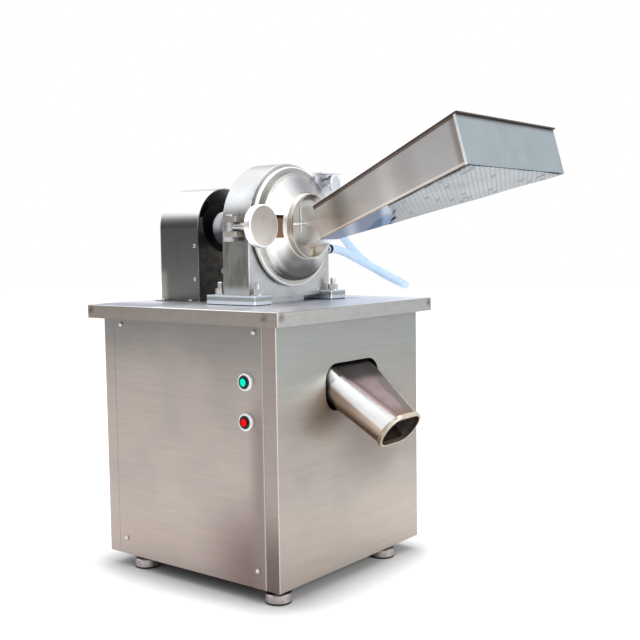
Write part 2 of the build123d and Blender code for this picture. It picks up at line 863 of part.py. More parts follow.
def main_shaft():
    tail = pulley_end + shaft_tail
    nose = rotor_face - rotor_nut_length + shaft_nose_inset
    shaft = rod_y(shaft_diameter / 2, nose, tail)
    shaft = chamfer(edges_on_plane(shaft, Axis.Y, tail), shaft_bevel)
    add("main_shaft", shaft)
    nut = hex_y(rotor_nut_flats, rotor_face - rotor_nut_length, rotor_face)
    nut -= rod_y(shaft_diameter / 2, nose, rotor_face + past)
    add("rotor_nut", nut)


# Grinding set: pinned rotor disc, ring sieve and the fixed pinned disc carried by the door
def pin_ring(radius, y0, y1, phase):
    for k in range(pins_per_row):
        turn = 2 * pi * (k + phase) / pins_per_row
        yield rod_y(grinding_pin / 2, y0, y1, radius * cos(turn), axis_z + radius * sin(turn))


def rotor_disc():
    disc = rod_y(rotor_radius, rotor_face, rotor_back)
    disc += rod_y(rotor_hub_diameter / 2, rotor_back, rotor_back + rotor_hub_length)
    for row in rotor_pin_rows:
        for pin in pin_ring(row, rotor_face - rotor_pin_length, rotor_face, 0.0):
            disc += pin
    disc -= rod_y(shaft_diameter / 2, rotor_face - past, rotor_back + rotor_hub_length + past)
    add("rotor_disc", disc)


def ring_sieve():
    start = front_y + sieve_front_gap
    cut = 2 * (sieve_wall + past)
    sieve = ring_y(sieve_radius + sieve_wall, sieve_radius, start, chamber_back)
    flange = ring_y(chamber_radius - close_clearance, sieve_radius, chamber_back - sieve_flange,
                    chamber_back)
    step = (chamber_back - start) / (sieve_rows + 1)
    holes = []
    for row in range(sieve_rows):
        y = start + step * (row + past)
        for k in range(sieve_holes):
            place = Pos(0, y, axis_z) * Rot(0, 360.0 * (k + row / 2) / sieve_holes, 0)
            holes.append(place * Pos(sieve_radius, 0, 0) * Rot(0, 90, 0) * Cylinder(sieve_hole / 2, cut))
    add("ring_sieve", sieve + flange - holes)


# Door: flange, cone, collar and hinge lug in one casting
def cone_profile(inset):
    tip = collar_length - collar_front
    setback = inset * tan(atan2(cone_radius - collar_radius, cone_base - tip) / 2)
    front = -collar_front - (past if inset else 0)
    points = [
        (0, door_back),
        (cone_radius - inset, door_back),
        (cone_radius - inset, cone_base + setback),
        (collar_radius - inset, tip + setback),
        (collar_radius - inset, front),
        (0, front),
    ]
    face = make_face(Plane.XY * Polyline(*points, close=True))
    return Pos(0, 0, axis_z) * revolve(face, Axis.Y)


def mill_door():
    body = cone_profile(0) + rod_y(door_radius, flange_face, door_back)
    rim = edges_on_plane(body, Axis.Y, flange_face).filter_by(GeomType.CIRCLE)
    body = fillet(rim.sort_by(SortBy.RADIUS)[-1], door_edge)
    lug_back = -door_lug_front + door_lug_depth
    lug = block(hinge_x - door_lug_end, 0, -door_lug_front, lug_back,
                axis_z - door_lug_height / 2, axis_z + door_lug_height / 2)
    body += fillet(lug.edges().group_by(Axis.X)[0], door_edge)
    body -= cone_profile(door_wall)
    body += ring_y(collar_radius, collar_radius - collar_wall, -collar_front, -collar_front + collar_length)
    plate_y = -collar_front + collar_plate_recess
    body += rod_y(collar_radius - collar_plate_overlap, plate_y, plate_y + door_wall)
    body -= spout_outside(0.0)
    seat = rod_y(stator_radius, door_back - stator_thickness, door_back + past)
    body -= seat
    body -= ring_y(gasket_outer, gasket_inner, door_back - gasket_depth + door_gap, door_back + past)
    rod_hole = eye_rod_diameter / 2 + running_clearance
    body -= rod_y(rod_hole, -door_lug_front - past, lug_back + past, hinge_x)
    add("mill_door", body)
    gasket_front = door_back - gasket_depth + door_gap
    add("door_gasket", ring_y(gasket_outer, gasket_inner, gasket_front, front_y - gasket_gap))


def stator_disc():
    disc = ring_y(stator_radius, stator_hole_radius, door_back - stator_thickness, door_back)
    for row in stator_pin_rows:
        for pin in pin_ring(row, door_back, door_back + stator_pin_length, 0.5):
            disc += pin
    add("stator_disc", disc)


def hinge():
    lug_low = axis_z - eye_height / 2 - close_clearance
    lug_high = axis_z + eye_height / 2 + close_clearance
    side = -housing_radius
    front_end = hinge_y - clevis_reach
    rear_end = hinge_y + clevis_round
    clevis = block(side - clevis_plate, side, front_end - clevis_plate_margin, rear_end + clevis_plate_margin,
                   lug_low - clevis_lug, lug_high + clevis_lug)
    for z0, z1 in ((lug_low - clevis_lug, lug_low), (lug_high, lug_high + clevis_lug)):
        ear = block(hinge_x - clevis_round, side, front_end, hinge_y, z0, z1)
        ear = fillet(ear.edges().filter_by(Axis.Z).group_by(Axis.X)[0].group_by(Axis.Y)[0], clevis_edge)
        ear += rod_z(clevis_round, z0, z1, hinge_x, hinge_y)
        ear += block(hinge_x, side, hinge_y, rear_end, z0, z1)
        clevis += ear
    clevis -= block(side, 0, hinge_y - housing_depth, hinge_y + housing_depth,
                    lug_low - clevis_lug - past, lug_high + clevis_lug + past)
    clevis -= rod_z(eye_radius + eye_room, lug_low, lug_high, hinge_x, hinge_y)
    clevis -= rod_z(hinge_pin_diameter / 2 + running_clearance,
                    lug_low - clevis_lug - past, lug_high + clevis_lug + past, hinge_x, hinge_y)
    add("hinge_clevis", clevis)
    foot = lug_low - clevis_lug
    pin_top = lug_high + clevis_lug + hinge_pin_standing
    pin = rod_z(hinge_pin_diameter / 2, foot, pin_top, hinge_x, hinge_y)
    pin = fillet(edges_on_plane(pin, Axis.Z, pin_top), hinge_pin_edge)
    pin += hex_z(hinge_pin_head, foot - hinge_pin_head_height, foot, hinge_x, hinge_y)
    add("hinge_pin", pin)
    rod_tip = -door_lug_front - close_clearance - hand_nut_thickness + eye_rod_inset
    eye = rod_z(eye_radius, axis_z - eye_height / 2, axis_z + eye_height / 2, hinge_x, hinge_y)
    eye += rod_y(eye_rod_diameter / 2, rod_tip, hinge_y - eye_radius / 2, hinge_x)
    eye -= rod_z(hinge_pin_diameter / 2 + running_clearance,
                 axis_z - eye_height, axis_z + eye_height, hinge_x, hinge_y)
    add("eye_rod", eye)
    nut_back = -door_lug_front - close_clearance
    nut = rod_y(hand_nut_diameter / 2, nut_back - hand_nut_thickness, nut_back, hinge_x)
    nut = fillet(nut.edges().filter_by(GeomType.CIRCLE), hand_nut_edge)
    thread = eye_rod_diameter / 2 + running_clearance
    nut -= rod_y(thread, rod_tip - close_clearance, nut_back + past, hinge_x)
    add("hand_nut", nut)


def latch():
    ear_front = flange_face - latch_plate
    top = latch_z + latch_web_rise
    ear = block(latch_plate_left, latch_plate_right, ear_front, flange_face,
                latch_z - latch_plate_drop, top)
    ear += block(latch_plate_left, latch_plate_right, flange_face - latch_web_depth, flange_face,
                 top - latch_web, top)
    ear -= rod_y(cone_radius + close_clearance, flange_face - 2 * latch_web_depth, flange_face + past)
    screw_hole = latch_screw_diameter / 2 + running_clearance
    ear -= rod_y(screw_hole, ear_front - past, flange_face + past, latch_x, latch_z)
    ear = max(ear.solids(), key=lambda solid: solid.volume)
    add("latch_ear", ear)
    neck_back = ear_front - close_clearance
    neck_front = neck_back - latch_neck_length
    knob = rod_y(latch_knob_diameter / 2, neck_front - latch_knob_length, neck_front, latch_x, latch_z)
    knob = fillet(knob.edges().filter_by(GeomType.CIRCLE), latch_knob_edge)
    knob += rod_y(latch_neck_diameter / 2, neck_front, neck_back, latch_x, latch_z)
    knob += rod_y(latch_screw_diameter / 2, neck_back, front_y + latch_engagement, latch_x, latch_z)
    add("latch_screw", knob)


# Feed spout through the collar and the fan-shaped feed trough
def trough_floor_z(y):
    return axis_z - trough_floor_drop + (-trough_floor_y - y) * tan(radians(trough_slope))


def spout_outside(inset):
    half = spout_width / 2 + trough_sheet - inset
    over = past if inset else 0.0
    y0 = -trough_start - over
    y1 = -spout_inner_end + over
    top = axis_z + spout_top_rise - inset
    floor0 = trough_floor_z(y0) + inset
    floor1 = trough_floor_z(y1) + inset
    lean = (top - floor0) * tan(radians(trough_slope))
    outline = Polyline((y0, floor0), (y1, floor1), (y1, top), (y0 + lean, top), close=True)
    face = Plane.YZ * make_face(outline)
    return Pos(-half, 0, 0) * extrude(face, 2 * half)


def trough_plane(along):
    slope = radians(trough_slope)
    y = -trough_start - along * cos(slope)
    return Plane(origin=(0, y, trough_floor_z(-trough_start) + along * sin(slope)), x_dir=(1, 0, 0),
                 z_dir=(0, -cos(slope), sin(slope)))


def trough_section(along, width, low, high):
    return trough_plane(along) * Pos(0, (low + high) / 2) * Rectangle(width, high - low)


def feed_trough():
    spout = spout_outside(0.0) - spout_outside(trough_sheet)
    add("feed_spout", spout)
    spread = (trough_end_width - spout_width) / trough_length
    rise = (trough_end_wall - trough_start_wall) / trough_length
    sheet = trough_sheet
    outer = loft([
        trough_section(0.0, spout_width + 2 * sheet, 0.0, trough_start_wall),
        trough_section(trough_length, trough_end_width + 2 * sheet, 0.0, trough_end_wall),
    ])
    rim0 = trough_start_wall - trough_lip_thickness
    rim1 = trough_end_wall - trough_lip_thickness
    lip_end_width = trough_end_width + 2 * trough_lip
    lips = loft([
        trough_section(0.0, spout_width + 2 * trough_lip, rim0, trough_start_wall),
        trough_section(trough_length, lip_end_width, rim1, trough_end_wall),
    ])
    end_lip = trough_section(trough_length, lip_end_width, rim1, trough_end_wall)
    body = outer + lips + extrude(end_lip, trough_end_lip)
    hollow_end = trough_length - sheet
    body -= loft([
        trough_section(-trough_cut, spout_width - spread * trough_cut, sheet,
                       trough_start_wall + trough_cut),
        trough_section(hollow_end, spout_width + spread * hollow_end, sheet,
                       trough_start_wall + rise * hollow_end + trough_cut),
    ])
    add("feed_trough", body)


# Belt guard: arched cover closed at the rear, recessed front plate, screws
def guard_foot_places():
    for x in (-guard_radius - guard_flange / 2, guard_radius + guard_flange / 2):
        for y in (guard_front + guard_foot_inset, guard_back - guard_foot_inset):
            yield x, y


def guard_arch(radius, y0, y1, bottom):
    return rod_y(radius, y0, y1) + block(-radius, radius, y0, y1, bottom, axis_z)


def guard_wall_screws():
    for side in (-1, 1):
        for z in (axis_z - guard_screw_high, axis_z - guard_screw_low):
            yield side, z


def belt_guard():
    cover = guard_arch(guard_radius, guard_front, guard_back, table_height)
    inside = guard_radius - guard_sheet
    cover -= guard_arch(inside, guard_front - past, guard_back - guard_sheet, table_height - past)
    for side in (-1, 1):
        cover += block(side * inside, side * (guard_radius + guard_flange), guard_front, guard_back,
                       table_height, table_height + guard_sheet)
    hole = guard_screw_shank / 2 + hole_room
    seat = table_height + guard_sheet
    for x, y in guard_foot_places():
        cover -= rod_z(hole, table_height - past, seat + past, x, y)
    for side, z in guard_wall_screws():
        cover -= rod_x(hole, side * (inside - past), side * (guard_radius + past),
                       guard_front + guard_screw_inset, z)
    add("belt_guard", cover)
    plate_y = guard_front + guard_plate_recess
    plate_back = plate_y + guard_sheet
    front_top = axis_z + guard_plate_rise
    notch_z = axis_z + guard_notch_rise
    half_notch = guard_notch_radius
    front = guard_arch(inside, plate_y, plate_back, table_height)
    front -= block(-inside, inside, plate_y - past, plate_back + past, front_top, axis_z + guard_radius)
    front -= rod_y(half_notch, plate_y - past, plate_back + past, 0.0, notch_z)
    front -= block(-half_notch, half_notch, plate_y - past, plate_back + past,
                   notch_z, axis_z + guard_radius)
    for side in (-1, 1):
        front += block(side * inside, side * (inside - guard_sheet), plate_y, plate_y + guard_tab_depth,
                       axis_z - guard_tab_low, axis_z - guard_tab_high)
    for side, z in guard_wall_screws():
        front -= rod_x(hole, side * (inside - guard_sheet - screw_point - past), side * (inside + past),
                       guard_front + guard_screw_inset, z)
    plate_screw_z = axis_z - plate_screw_drop
    front -= rod_y(plate_screw_shank / 2 + hole_room, plate_y - past, plate_back + past,
                   plate_screw_x, plate_screw_z)
    add("guard_front_plate", front)
    crown = plate_y - plate_screw_height
    nut_end = plate_back + plate_screw_nut
    head = rod_y(plate_screw_head / 2, crown, plate_y, plate_screw_x, plate_screw_z)
    head = fillet(edges_on_plane(head, Axis.Y, crown), plate_screw_height / 2)
    head += rod_y(plate_screw_shank / 2, plate_y, nut_end, plate_screw_x, plate_screw_z)
    screws = [head + hex_y(plate_screw_flats, plate_back, nut_end, plate_screw_x, plate_screw_z)]
    foot_screw_end = table_underside - guard_foot_screw_reach
    for x, y in guard_foot_places():
        head = rod_z(guard_screw_head / 2, seat, seat + guard_screw_height, x, y)
        head = fillet(edges_on_plane(head, Axis.Z, seat + guard_screw_height), guard_screw_height / 2)
        screws.append(head + rod_z(guard_screw_shank / 2, foot_screw_end, seat, x, y))
    for side, z in guard_wall_screws():
        y = guard_front + guard_screw_inset
        crown = side * (guard_radius + guard_screw_height)
        head = rod_x(guard_screw_head / 2, side * guard_radius, crown, y, z)
        head = fillet(edges_on_plane(head, Axis.X, crown), guard_screw_height / 2)
        tip = side * (inside - guard_sheet - screw_point)
        screws.append(head + rod_x(guard_screw_shank / 2, tip, side * guard_radius, y, z))
    add("guard_screws", group(screws))


# Belt drive: two grooved pulleys and the belts between them
def belt_section(radius, clearance):
    half_top = belt_width / 2 + clearance
    half_bottom = half_top - (belt_height + clearance) * tan(radians(belt_flank))
    return half_top, half_bottom, radius - belt_height - clearance


def belt_centres():
    for k in range(belt_count):
        yield pulley_start + pulley_rim + belt_pitch * (k + 0.5)


def pulley(outer, z, bore):
    body = rod_y(outer, pulley_start, pulley_end, 0, z)
    half_top, half_bottom, root = belt_section(outer, close_clearance)
    for y in belt_centres():
        beyond = outer + belt_height
        outline = Polyline((root, y - half_bottom), (outer, y - half_top), (beyond, y - half_top),
                           (beyond, y + half_top), (outer, y + half_top), (root, y + half_bottom),
                           close=True)
        body -= Pos(0, 0, z) * revolve(make_face(Plane.XY * outline), Axis.Y)
    body -= rod_y(bore, pulley_start - past, pulley_end + past, 0, z)
    return body


def drive_belt(y):
    span = axis_z - motor_z
    lean = (motor_pulley_radius - mill_pulley_radius) / span
    side = sqrt(1 - lean * lean)
    small = mill_pulley_radius
    large = motor_pulley_radius
    right_top = (small * side, y, axis_z + small * lean)
    left_top = (-small * side, y, axis_z + small * lean)
    right_low = (large * side, y, motor_z + large * lean)
    left_low = (-large * side, y, motor_z + large * lean)
    path = Wire([
        Line(right_low, right_top),
        ThreePointArc(right_top, (0, y, axis_z + small), left_top),
        Line(left_top, left_low),
        ThreePointArc(left_low, (0, y, motor_z - large), right_low),
    ])
    half_top, half_bottom, root = belt_section(0.0, 0.0)
    start = Plane(origin=right_low, x_dir=(side, 0, lean), z_dir=(-lean, 0, side))
    outline = Polyline((0, -half_top), (0, half_top), (root, half_bottom), (root, -half_bottom), close=True)
    return sweep(make_face(start * outline), path=path)


def belt_drive():
    add("mill_pulley", pulley(mill_pulley_radius, axis_z, shaft_diameter / 2))
    add("motor_pulley", pulley(motor_pulley_radius, motor_z, motor_shaft_diameter / 2))
    add("drive_belts", group(drive_belt(y) for y in belt_centres()))


# Motor: finned frame on feet, stator, rotor, covers, fan, cowl, terminal box
def motor():
    frame_inside = motor_frame_radius - motor_frame_wall
    middle = (motor_back + motor_front) / 2
    frame = rod_y(motor_frame_radius, motor_back, motor_front, 0, motor_z)
    for k in range(motor_fins):
        turn = 360.0 * (k + 0.5) / motor_fins
        place = Pos(0, middle, motor_z) * Rot(0, turn, 0) * Pos(motor_frame_radius, 0, 0)
        frame += place * Box(2 * motor_fin_height, motor_frame_length, motor_fin_thickness)
    for y in (motor_back + motor_foot_inset, motor_front - motor_foot_inset - motor_foot_length):
        frame += block(-motor_foot_width / 2, motor_foot_width / 2, y, y + motor_foot_length,
                       plate_top, plate_top + motor_foot_height)
        frame += block(-motor_foot_web / 2, motor_foot_web / 2, y, y + motor_foot_length,
                       plate_top, motor_z)
    frame -= rod_y(frame_inside, motor_back - past, motor_front + past, 0, motor_z)
    add("motor_frame", frame)
    stator_y0 = middle - motor_stator_length / 2
    stator_y1 = middle + motor_stator_length / 2
    stator_bore = motor_rotor_radius + motor_air_gap
    add("motor_stator", ring_y(frame_inside, stator_bore, stator_y0, stator_y1, 0, motor_z))
    fan_end = motor_back - motor_cover_thickness - motor_cowl_length + motor_fan_inset
    rotor = rod_y(motor_shaft_diameter / 2, fan_end, pulley_end + shaft_tail, 0, motor_z)
    rotor += rod_y(motor_rotor_radius, stator_y0, stator_y1, 0, motor_z)
    add("motor_rotor", rotor)
    covers = []
    rings = []
    for face, way in ((motor_front, 1), (motor_back, -1)):
        outer = face + way * motor_cover_thickness
        cover = rod_y(motor_frame_radius + motor_fin_height, face, outer, 0, motor_z)
        if way > 0:
            cover = chamfer(edges_on_plane(cover, Axis.Y, outer), motor_cover_bevel)
        spigot = face - way * motor_cover_thickness
        seat = face + way * motor_bearing_seat
        cover += rod_y(frame_inside, spigot, face, 0, motor_z)
        cover -= rod_y(motor_bearing_radius, spigot - way, seat, 0, motor_z)
        cover -= rod_y(motor_shaft_diameter / 2 + motor_cover_room, spigot - way, outer + way, 0, motor_z)
        covers.append(cover)
        shaft_bore = motor_shaft_diameter / 2 + running_clearance
        low = min(spigot, seat)
        high = max(spigot, seat)
        rings.append(ring_y(motor_bearing_radius, shaft_bore, low, high, 0, motor_z))
    add("motor_end_covers", group(covers))
    add("motor_bearings", group(rings))
    cowl_start = motor_back - motor_cover_thickness
    cowl_end = cowl_start - motor_cowl_length
    cowl_radius = motor_frame_radius + motor_fin_height
    cowl = rod_y(cowl_radius, cowl_end, cowl_start, 0, motor_z)
    cowl = fillet(edges_on_plane(cowl, Axis.Y, cowl_end), motor_cowl_round)
    inside_end = cowl_end + motor_cowl_sheet
    inside = rod_y(cowl_radius - motor_cowl_sheet, inside_end, cowl_start + past, 0, motor_z)
    cowl -= fillet(edges_on_plane(inside, Axis.Y, inside_end), motor_cowl_round - motor_cowl_sheet)
    for ring_radius in motor_vent_radii:
        count = round(2 * pi * ring_radius / motor_vent_pitch)
        for k in range(count):
            turn = 2 * pi * k / count
            x = ring_radius * cos(turn)
            z = motor_z + ring_radius * sin(turn)
            cowl -= rod_y(motor_vent / 2, cowl_end - past, cowl_end + 2 * motor_cowl_sheet, x, z)
    add("motor_fan_cowl", cowl)
    fan_start = fan_end + motor_fan_width
    fan = rod_y(motor_fan_hub, fan_end, fan_start, 0, motor_z)
    fan += rod_y(motor_fan_radius, fan_start - motor_fan_sheet, fan_start, 0, motor_z)
    blade_length = motor_fan_radius - motor_fan_hub + motor_blade_root
    for k in range(motor_fan_blades):
        place = Pos(0, (fan_end + fan_start) / 2, motor_z) * Rot(0, 360.0 * k / motor_fan_blades, 0)
        blade = Box(blade_length, motor_fan_width, motor_fan_sheet)
        fan += place * Pos(motor_fan_radius - blade_length / 2, 0, 0) * blade
    fan -= rod_y(motor_shaft_diameter / 2, fan_end - past, fan_start + past, 0, motor_z)
    add("motor_fan", fan)
    half = terminal_box_size / 2
    half_height = terminal_box_height / 2
    seat = motor_frame_radius - terminal_box_sink
    terminal = block(seat, seat + motor_fin_height + terminal_box_depth, middle - half, middle + half,
                     motor_z - half_height, motor_z + half_height)
    terminal = fillet(terminal.edges().group_by(Axis.X)[-1], terminal_box_round)
    terminal -= rod_y(motor_frame_radius, middle - half - past, middle + half + past, 0, motor_z)
    terminal -= frame
    add("motor_terminal_box", max(terminal.solids(), key=lambda solid: solid.volume))


# Hose and its nipples
def nipple_places():
    yield nipple_y, axis_z - nipple_drop
    yield return_nipple_y, axis_z + return_nipple_rise


def nipple(y, z):
    hex_end = housing_radius + nipple_flange_length
    tip = hex_end + nipple_barb_length
    body = hex_x(nipple_flats, housing_radius, hex_end, y, z)
    body += rod_x(nipple_barb_diameter / 2, hex_end, tip, y, z)
    return body - rod_x(nipple_bore / 2, housing_radius - past, tip + past, y, z)


def hose_clamp(end, inner):
    seat = Plane(origin=end, z_dir=Vector(*inner) - Vector(*end)).offset(clamp_setback)
    band = Circle(hose_diameter / 2 + clamp_thickness) - Circle(hose_diameter / 2 + running_clearance)
    return extrude(seat * band, clamp_band)


def hose_points():
    tip = housing_radius + nipple_flange_length + nipple_barb_length
    places = list(nipple_places())
    start = (tip, places[0][0], places[0][1])
    end = (tip, places[1][0], places[1][1])
    out = [(196, nipple_y, start[2]), (256, -69, 644), (315, -86, 616), (372, -106, 588)]
    turn = [(424, -93, 575), (464, -56, 577), (470, -4, 595), (440, 32, 625)]
    back = [(372, 28, 660), (276, -6, 702), (205, return_nipple_y, end[2])]
    return [start] + out + turn + back + [end]


def hose_radii(points):
    radii = []
    for before, corner, after in zip(points, points[1:], points[2:]):
        run_in = Vector(*corner) - Vector(*before)
        run_out = Vector(*after) - Vector(*corner)
        turn = radians(run_in.get_angle(run_out))
        radii.append(hose_bend_share * min(run_in.length, run_out.length) / tan(turn / 2))
    return radii


def cooling_hose():
    points = hose_points()
    clamps = [hose_clamp(points[0], points[1]), hose_clamp(points[-1], points[-2])]
    add("hose_fittings", group([nipple(y, z) for y, z in nipple_places()] + clamps))
    radii = hose_radii(points)
    path = FilletPolyline(*points, radius=radii)
    start = Plane(origin=points[0], z_dir=Vector(*points[1]) - Vector(*points[0]))
    tube = sweep(start * Circle(hose_diameter / 2), path=path)
    add("cooling_hose", tube)
    print("hose radii", [round(radius) for radius in radii])
    section = pi * hose_diameter ** 2 / 4
    share = tube.volume / (section * path.length)
    print("hose length", round(path.length, 1), "volume over section times length", round(share, 4))


def build():
    cabinet()
    table_top()
    base()
    push_buttons()
    cable_gland()
    mill_housing()
    mill_feet()
    outlet_duct()
    discharge_chute()
    bearing_tube()
    ball_bearings()
    bearing_cover()
    main_shaft()
    rotor_disc()
    ring_sieve()
    mill_door()
    stator_disc()
    hinge()
    latch()
    feed_trough()
    belt_guard()
    belt_drive()
    motor()
    cooling_hose()


build()
os.makedirs("parts", exist_ok=True)
for name, shape in nodes.items():
    export_step(shape, f"parts/{name}.step")
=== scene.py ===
from math import cos, pi, radians, sin

import bmesh
import bpy
from mathutils import Matrix, Vector


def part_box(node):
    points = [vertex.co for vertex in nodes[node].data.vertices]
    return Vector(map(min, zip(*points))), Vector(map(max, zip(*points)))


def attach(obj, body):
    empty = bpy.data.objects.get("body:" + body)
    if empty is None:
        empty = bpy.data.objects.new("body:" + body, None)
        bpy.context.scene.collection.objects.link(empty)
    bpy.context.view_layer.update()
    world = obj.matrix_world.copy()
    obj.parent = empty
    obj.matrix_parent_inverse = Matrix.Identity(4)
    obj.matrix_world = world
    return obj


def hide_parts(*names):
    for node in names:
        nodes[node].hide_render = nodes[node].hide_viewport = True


# Spice grinding machine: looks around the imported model, in metres, in the model's own frame.
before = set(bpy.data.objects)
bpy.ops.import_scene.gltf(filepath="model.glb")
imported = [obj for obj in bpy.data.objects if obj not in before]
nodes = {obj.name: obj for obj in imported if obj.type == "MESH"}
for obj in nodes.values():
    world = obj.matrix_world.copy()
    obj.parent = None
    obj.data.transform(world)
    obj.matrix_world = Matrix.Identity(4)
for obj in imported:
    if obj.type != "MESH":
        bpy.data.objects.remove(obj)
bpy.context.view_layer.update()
scene = bpy.context.scene

# Camera, fitted to the photograph
CAMERA_PLACE = Vector((-1.6313, -1.4507, 0.6898))
CAMERA_YAW = 0.900808
CAMERA_PITCH = -0.079377
CAMERA_ROLL = 0.014721
CAMERA_REACH = 60.0
FOCAL_PIXELS = 1009.09
FRAME_PIXELS = 640
SENSOR_MM = 36.0

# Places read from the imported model
MILL_AXIS_Z = (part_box("hand_nut")[0].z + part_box("hand_nut")[1].z) / 2
BAR_TOP_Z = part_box("foot_bars")[1].z
CABINET_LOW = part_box("front_sheet")[0]
PANEL_EDGE_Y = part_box("access_panel")[0].y
TABLE_LOW, TABLE_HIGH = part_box("table_top")
SPOUT_LOW, SPOUT_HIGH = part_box("feed_spout")

# Hose route, the same points as the solid's
HOSE_DIAMETER = 0.019
HOSE_POINTS = [
    (0.153, -0.060, 0.669), (0.196, -0.060, 0.669), (0.256, -0.069, 0.644), (0.315, -0.086, 0.616),
    (0.372, -0.106, 0.588), (0.424, -0.093, 0.575), (0.464, -0.056, 0.577), (0.470, -0.004, 0.595),
    (0.440, 0.032, 0.625), (0.372, 0.028, 0.660), (0.276, -0.006, 0.702), (0.205, -0.036, 0.735),
    (0.153, -0.036, 0.735),
]
HOSE_ORDER = 3
HOSE_STEPS = 12
HOSE_FACETS = 8

# Discharge chute and feet
CHUTE_SLOPE = radians(35.4)
CHUTE_OUTWARD = Vector((0.0, -cos(CHUTE_SLOPE), -sin(CHUTE_SLOPE)))
CHUTE_START = Vector((0.0, CABINET_LOW.y, 0.396))
CHUTE_RIM_START = 0.133
CHUTE_TOP_HALF = 0.055
CHUTE_TOP_TAPER = 0.232
FOOT_SOLE = 0.004
FOOT_SOLE_SOFT = 0.0004

# Feed trough, measured along its slope
TROUGH_SLOPE = radians(15.5)
TROUGH_FORWARD = Vector((0.0, -cos(TROUGH_SLOPE), sin(TROUGH_SLOPE)))
TROUGH_UPWARD = Vector((0.0, sin(TROUGH_SLOPE), cos(TROUGH_SLOPE)))
TROUGH_START = Vector((0.0, -0.185, 0.69014))
TROUGH_LENGTH = 0.445
TROUGH_START_HALF = 0.028
TROUGH_END_HALF = 0.182
TROUGH_WALL = 0.070
TROUGH_WALL_RISE = 0.020

# Bands across the trough's side, lighter and darker: start, end, softness, strength and colour
TROUGH_SIDE_BANDS = [
    (-0.010, 0.058, 0.022, 0.75, (236, 229, 221)),
    (0.218, 0.258, 0.014, 0.40, (228, 222, 214)),
    (0.280, 0.325, 0.016, 0.30, (158, 151, 144)),
    (0.426, 0.441, 0.006, 0.80, (146, 137, 130)),
]

# Protective film under the trough: its sheet, its wavy first edge and its ripples
FILM_START = 0.167
FILM_SLANT = 0.061
FILM_WAVE = 0.004
FILM_WAVE_TURN = 9.0
FILM_END = 0.4435
FILM_ROWS = 40
FILM_COLUMNS = 24
FILM_MARGIN = 0.0015
FILM_DROP = 0.0006
FILM_RIPPLE = 0.0007
FILM_RIPPLE_ALONG = 41
FILM_RIPPLE_ACROSS = 3
FILM_RIPPLE_TWIST = 17
FILM_THICKNESS = 0.0003

# Creases in the film: the direction from one to the next, across and along the trough, and their pitch
FILM_CREASES = [(0.918, 0.396, 0.0143), (0.474, 0.881, 0.0083)]
FILM_CREASE_WIDTH = (0.06, 0.17)
FILM_TEAL_CHANCE = (0.940, 0.945)

# Door: rings by distance from the mill's axis, some limited along Y; a third value is a softness
# The second band is a painted highlight on the flange's outer edge
DOOR_BANDS = [(0.1060, 0.1070, (176, 175, 171)), (0.1208, 0.1216, (228, 227, 223))]
DOOR_RIM = (0.1210, 0.1216)
# Painted shadow of the gap between the door's flange and the housing, laid on the flange's outer side
DOOR_GAP_SHADOW = (0.1228, 0.1234)
DOOR_GAP_SHADOW_Y = (-0.0875, -0.0865)
# Painted shade on the flange's low step; painted light on its face and a painted highlight on the cone's
# outer edge, both at lower left
DOOR_STEP = (0.1045, 0.1130, 0.0006)
DOOR_FACE = (0.1112, 0.1205, 0.0006)
CONE_EDGE = (0.098, 0.1055, 0.006)
# Painted sheen on the cone: how its streaks face, how many, and how strong
CONE_FACING = (-0.9, -0.4, 0.04)
CONE_RAYS = 5.0
CONE_RAY_STREAK = 0.16
# Painted shade inside the collar's top
COLLAR_RECESS = (0.054, 0.070, 0.003)
COLLAR_RING = (0.0655, 0.069, 0.0005)
COLLAR_RING_Y = (-0.127, -0.129)

# Soft round patches of painted reflection and shade on the door: place, radius, core and colour
DOOR_SHADE_PATCHES = [
    ((-0.005, -0.115, 0.086), 0.060, 0.0, (150, 148, 154)),
    ((-0.035, -0.142, -0.056), 0.044, 0.02, (136, 130, 122)),
]

# Push buttons, their lens lit by a painted glow: the lens's edge, full colour and bright core, as shares
# of the cap's width
LENS_EDGE = 0.46
LENS_FULL = 0.40
LENS_CORE = 0.20

# Weld beads: points in each beat, depth of the beats, taper at both ends, and their places
BEAD_FACETS = 3
BEAD_STEPS = 4
BEAD_SWELL = 0.2
BEAD_TIP = 0.4
BEAD_TAPER = 4
SEAM_BEAD_Y = -0.1345
SEAM_BEAD_Z = (0.7040, 0.7570)
SEAM_BEAD_RADIUS = 0.0018
SEAM_BEAD_BEATS = 12
TACK_BEAD_START = (-0.0635, -0.1425, 0.7215)
TACK_BEAD_END = (SPOUT_LOW.x, -0.1430, 0.7240)
TACK_BEAD_RADIUS = 0.0026
TACK_BEAD_BEATS = 4

# Steel: scales of its grain along X, Y and Z, and the rings, clouds and relief of turned pieces
GRAIN_LEVEL = (10.0, 10.0, 170.0)
GRAIN_ALONG_X = (3.0, 260.0, 40.0)
GRAIN_UPRIGHT = (260.0, 260.0, 4.0)
GRAIN_GROUND = (40.0, 40.0, 60.0)
GRAIN_CAST = (60.0, 60.0, 60.0)
GRAIN_TROUGH = (30.0, 4.0, 30.0)
GRAIN_POLISHED = (20.0, 20.0, 20.0)
RINGS_ACROSS = 900.0
RINGS_ALONG = 270.0
TURNED_CLOUDS = 14.0
TURNED_STREAK = 0.08
TURNED_BUMP = 0.04

# Noise values between which a tone or a gloss changes, and how far lines and clouds change the gloss
LINE_SPAN = (0.25, 0.75)
CLOUD_SPAN = (0.35, 0.68)
SPECK_SPAN = (0.3, 0.7)
GLOSS_SPAN = (0.2, 0.8)
LINE_WEAR = 0.07
CLOUD_WEAR = 0.05
FADE_DRIFT = 0.6

# Faces that look along an axis, and the directions at which a tint starts and is full
LEFT_FACES = ("X", -0.5, -0.9)
FRONT_FACES = ("Y", -0.5, -0.9)
UNDER_FACES = ("Z", -0.7, -0.95)
LEVEL_FACES = ("Z", 0.7, 0.95)

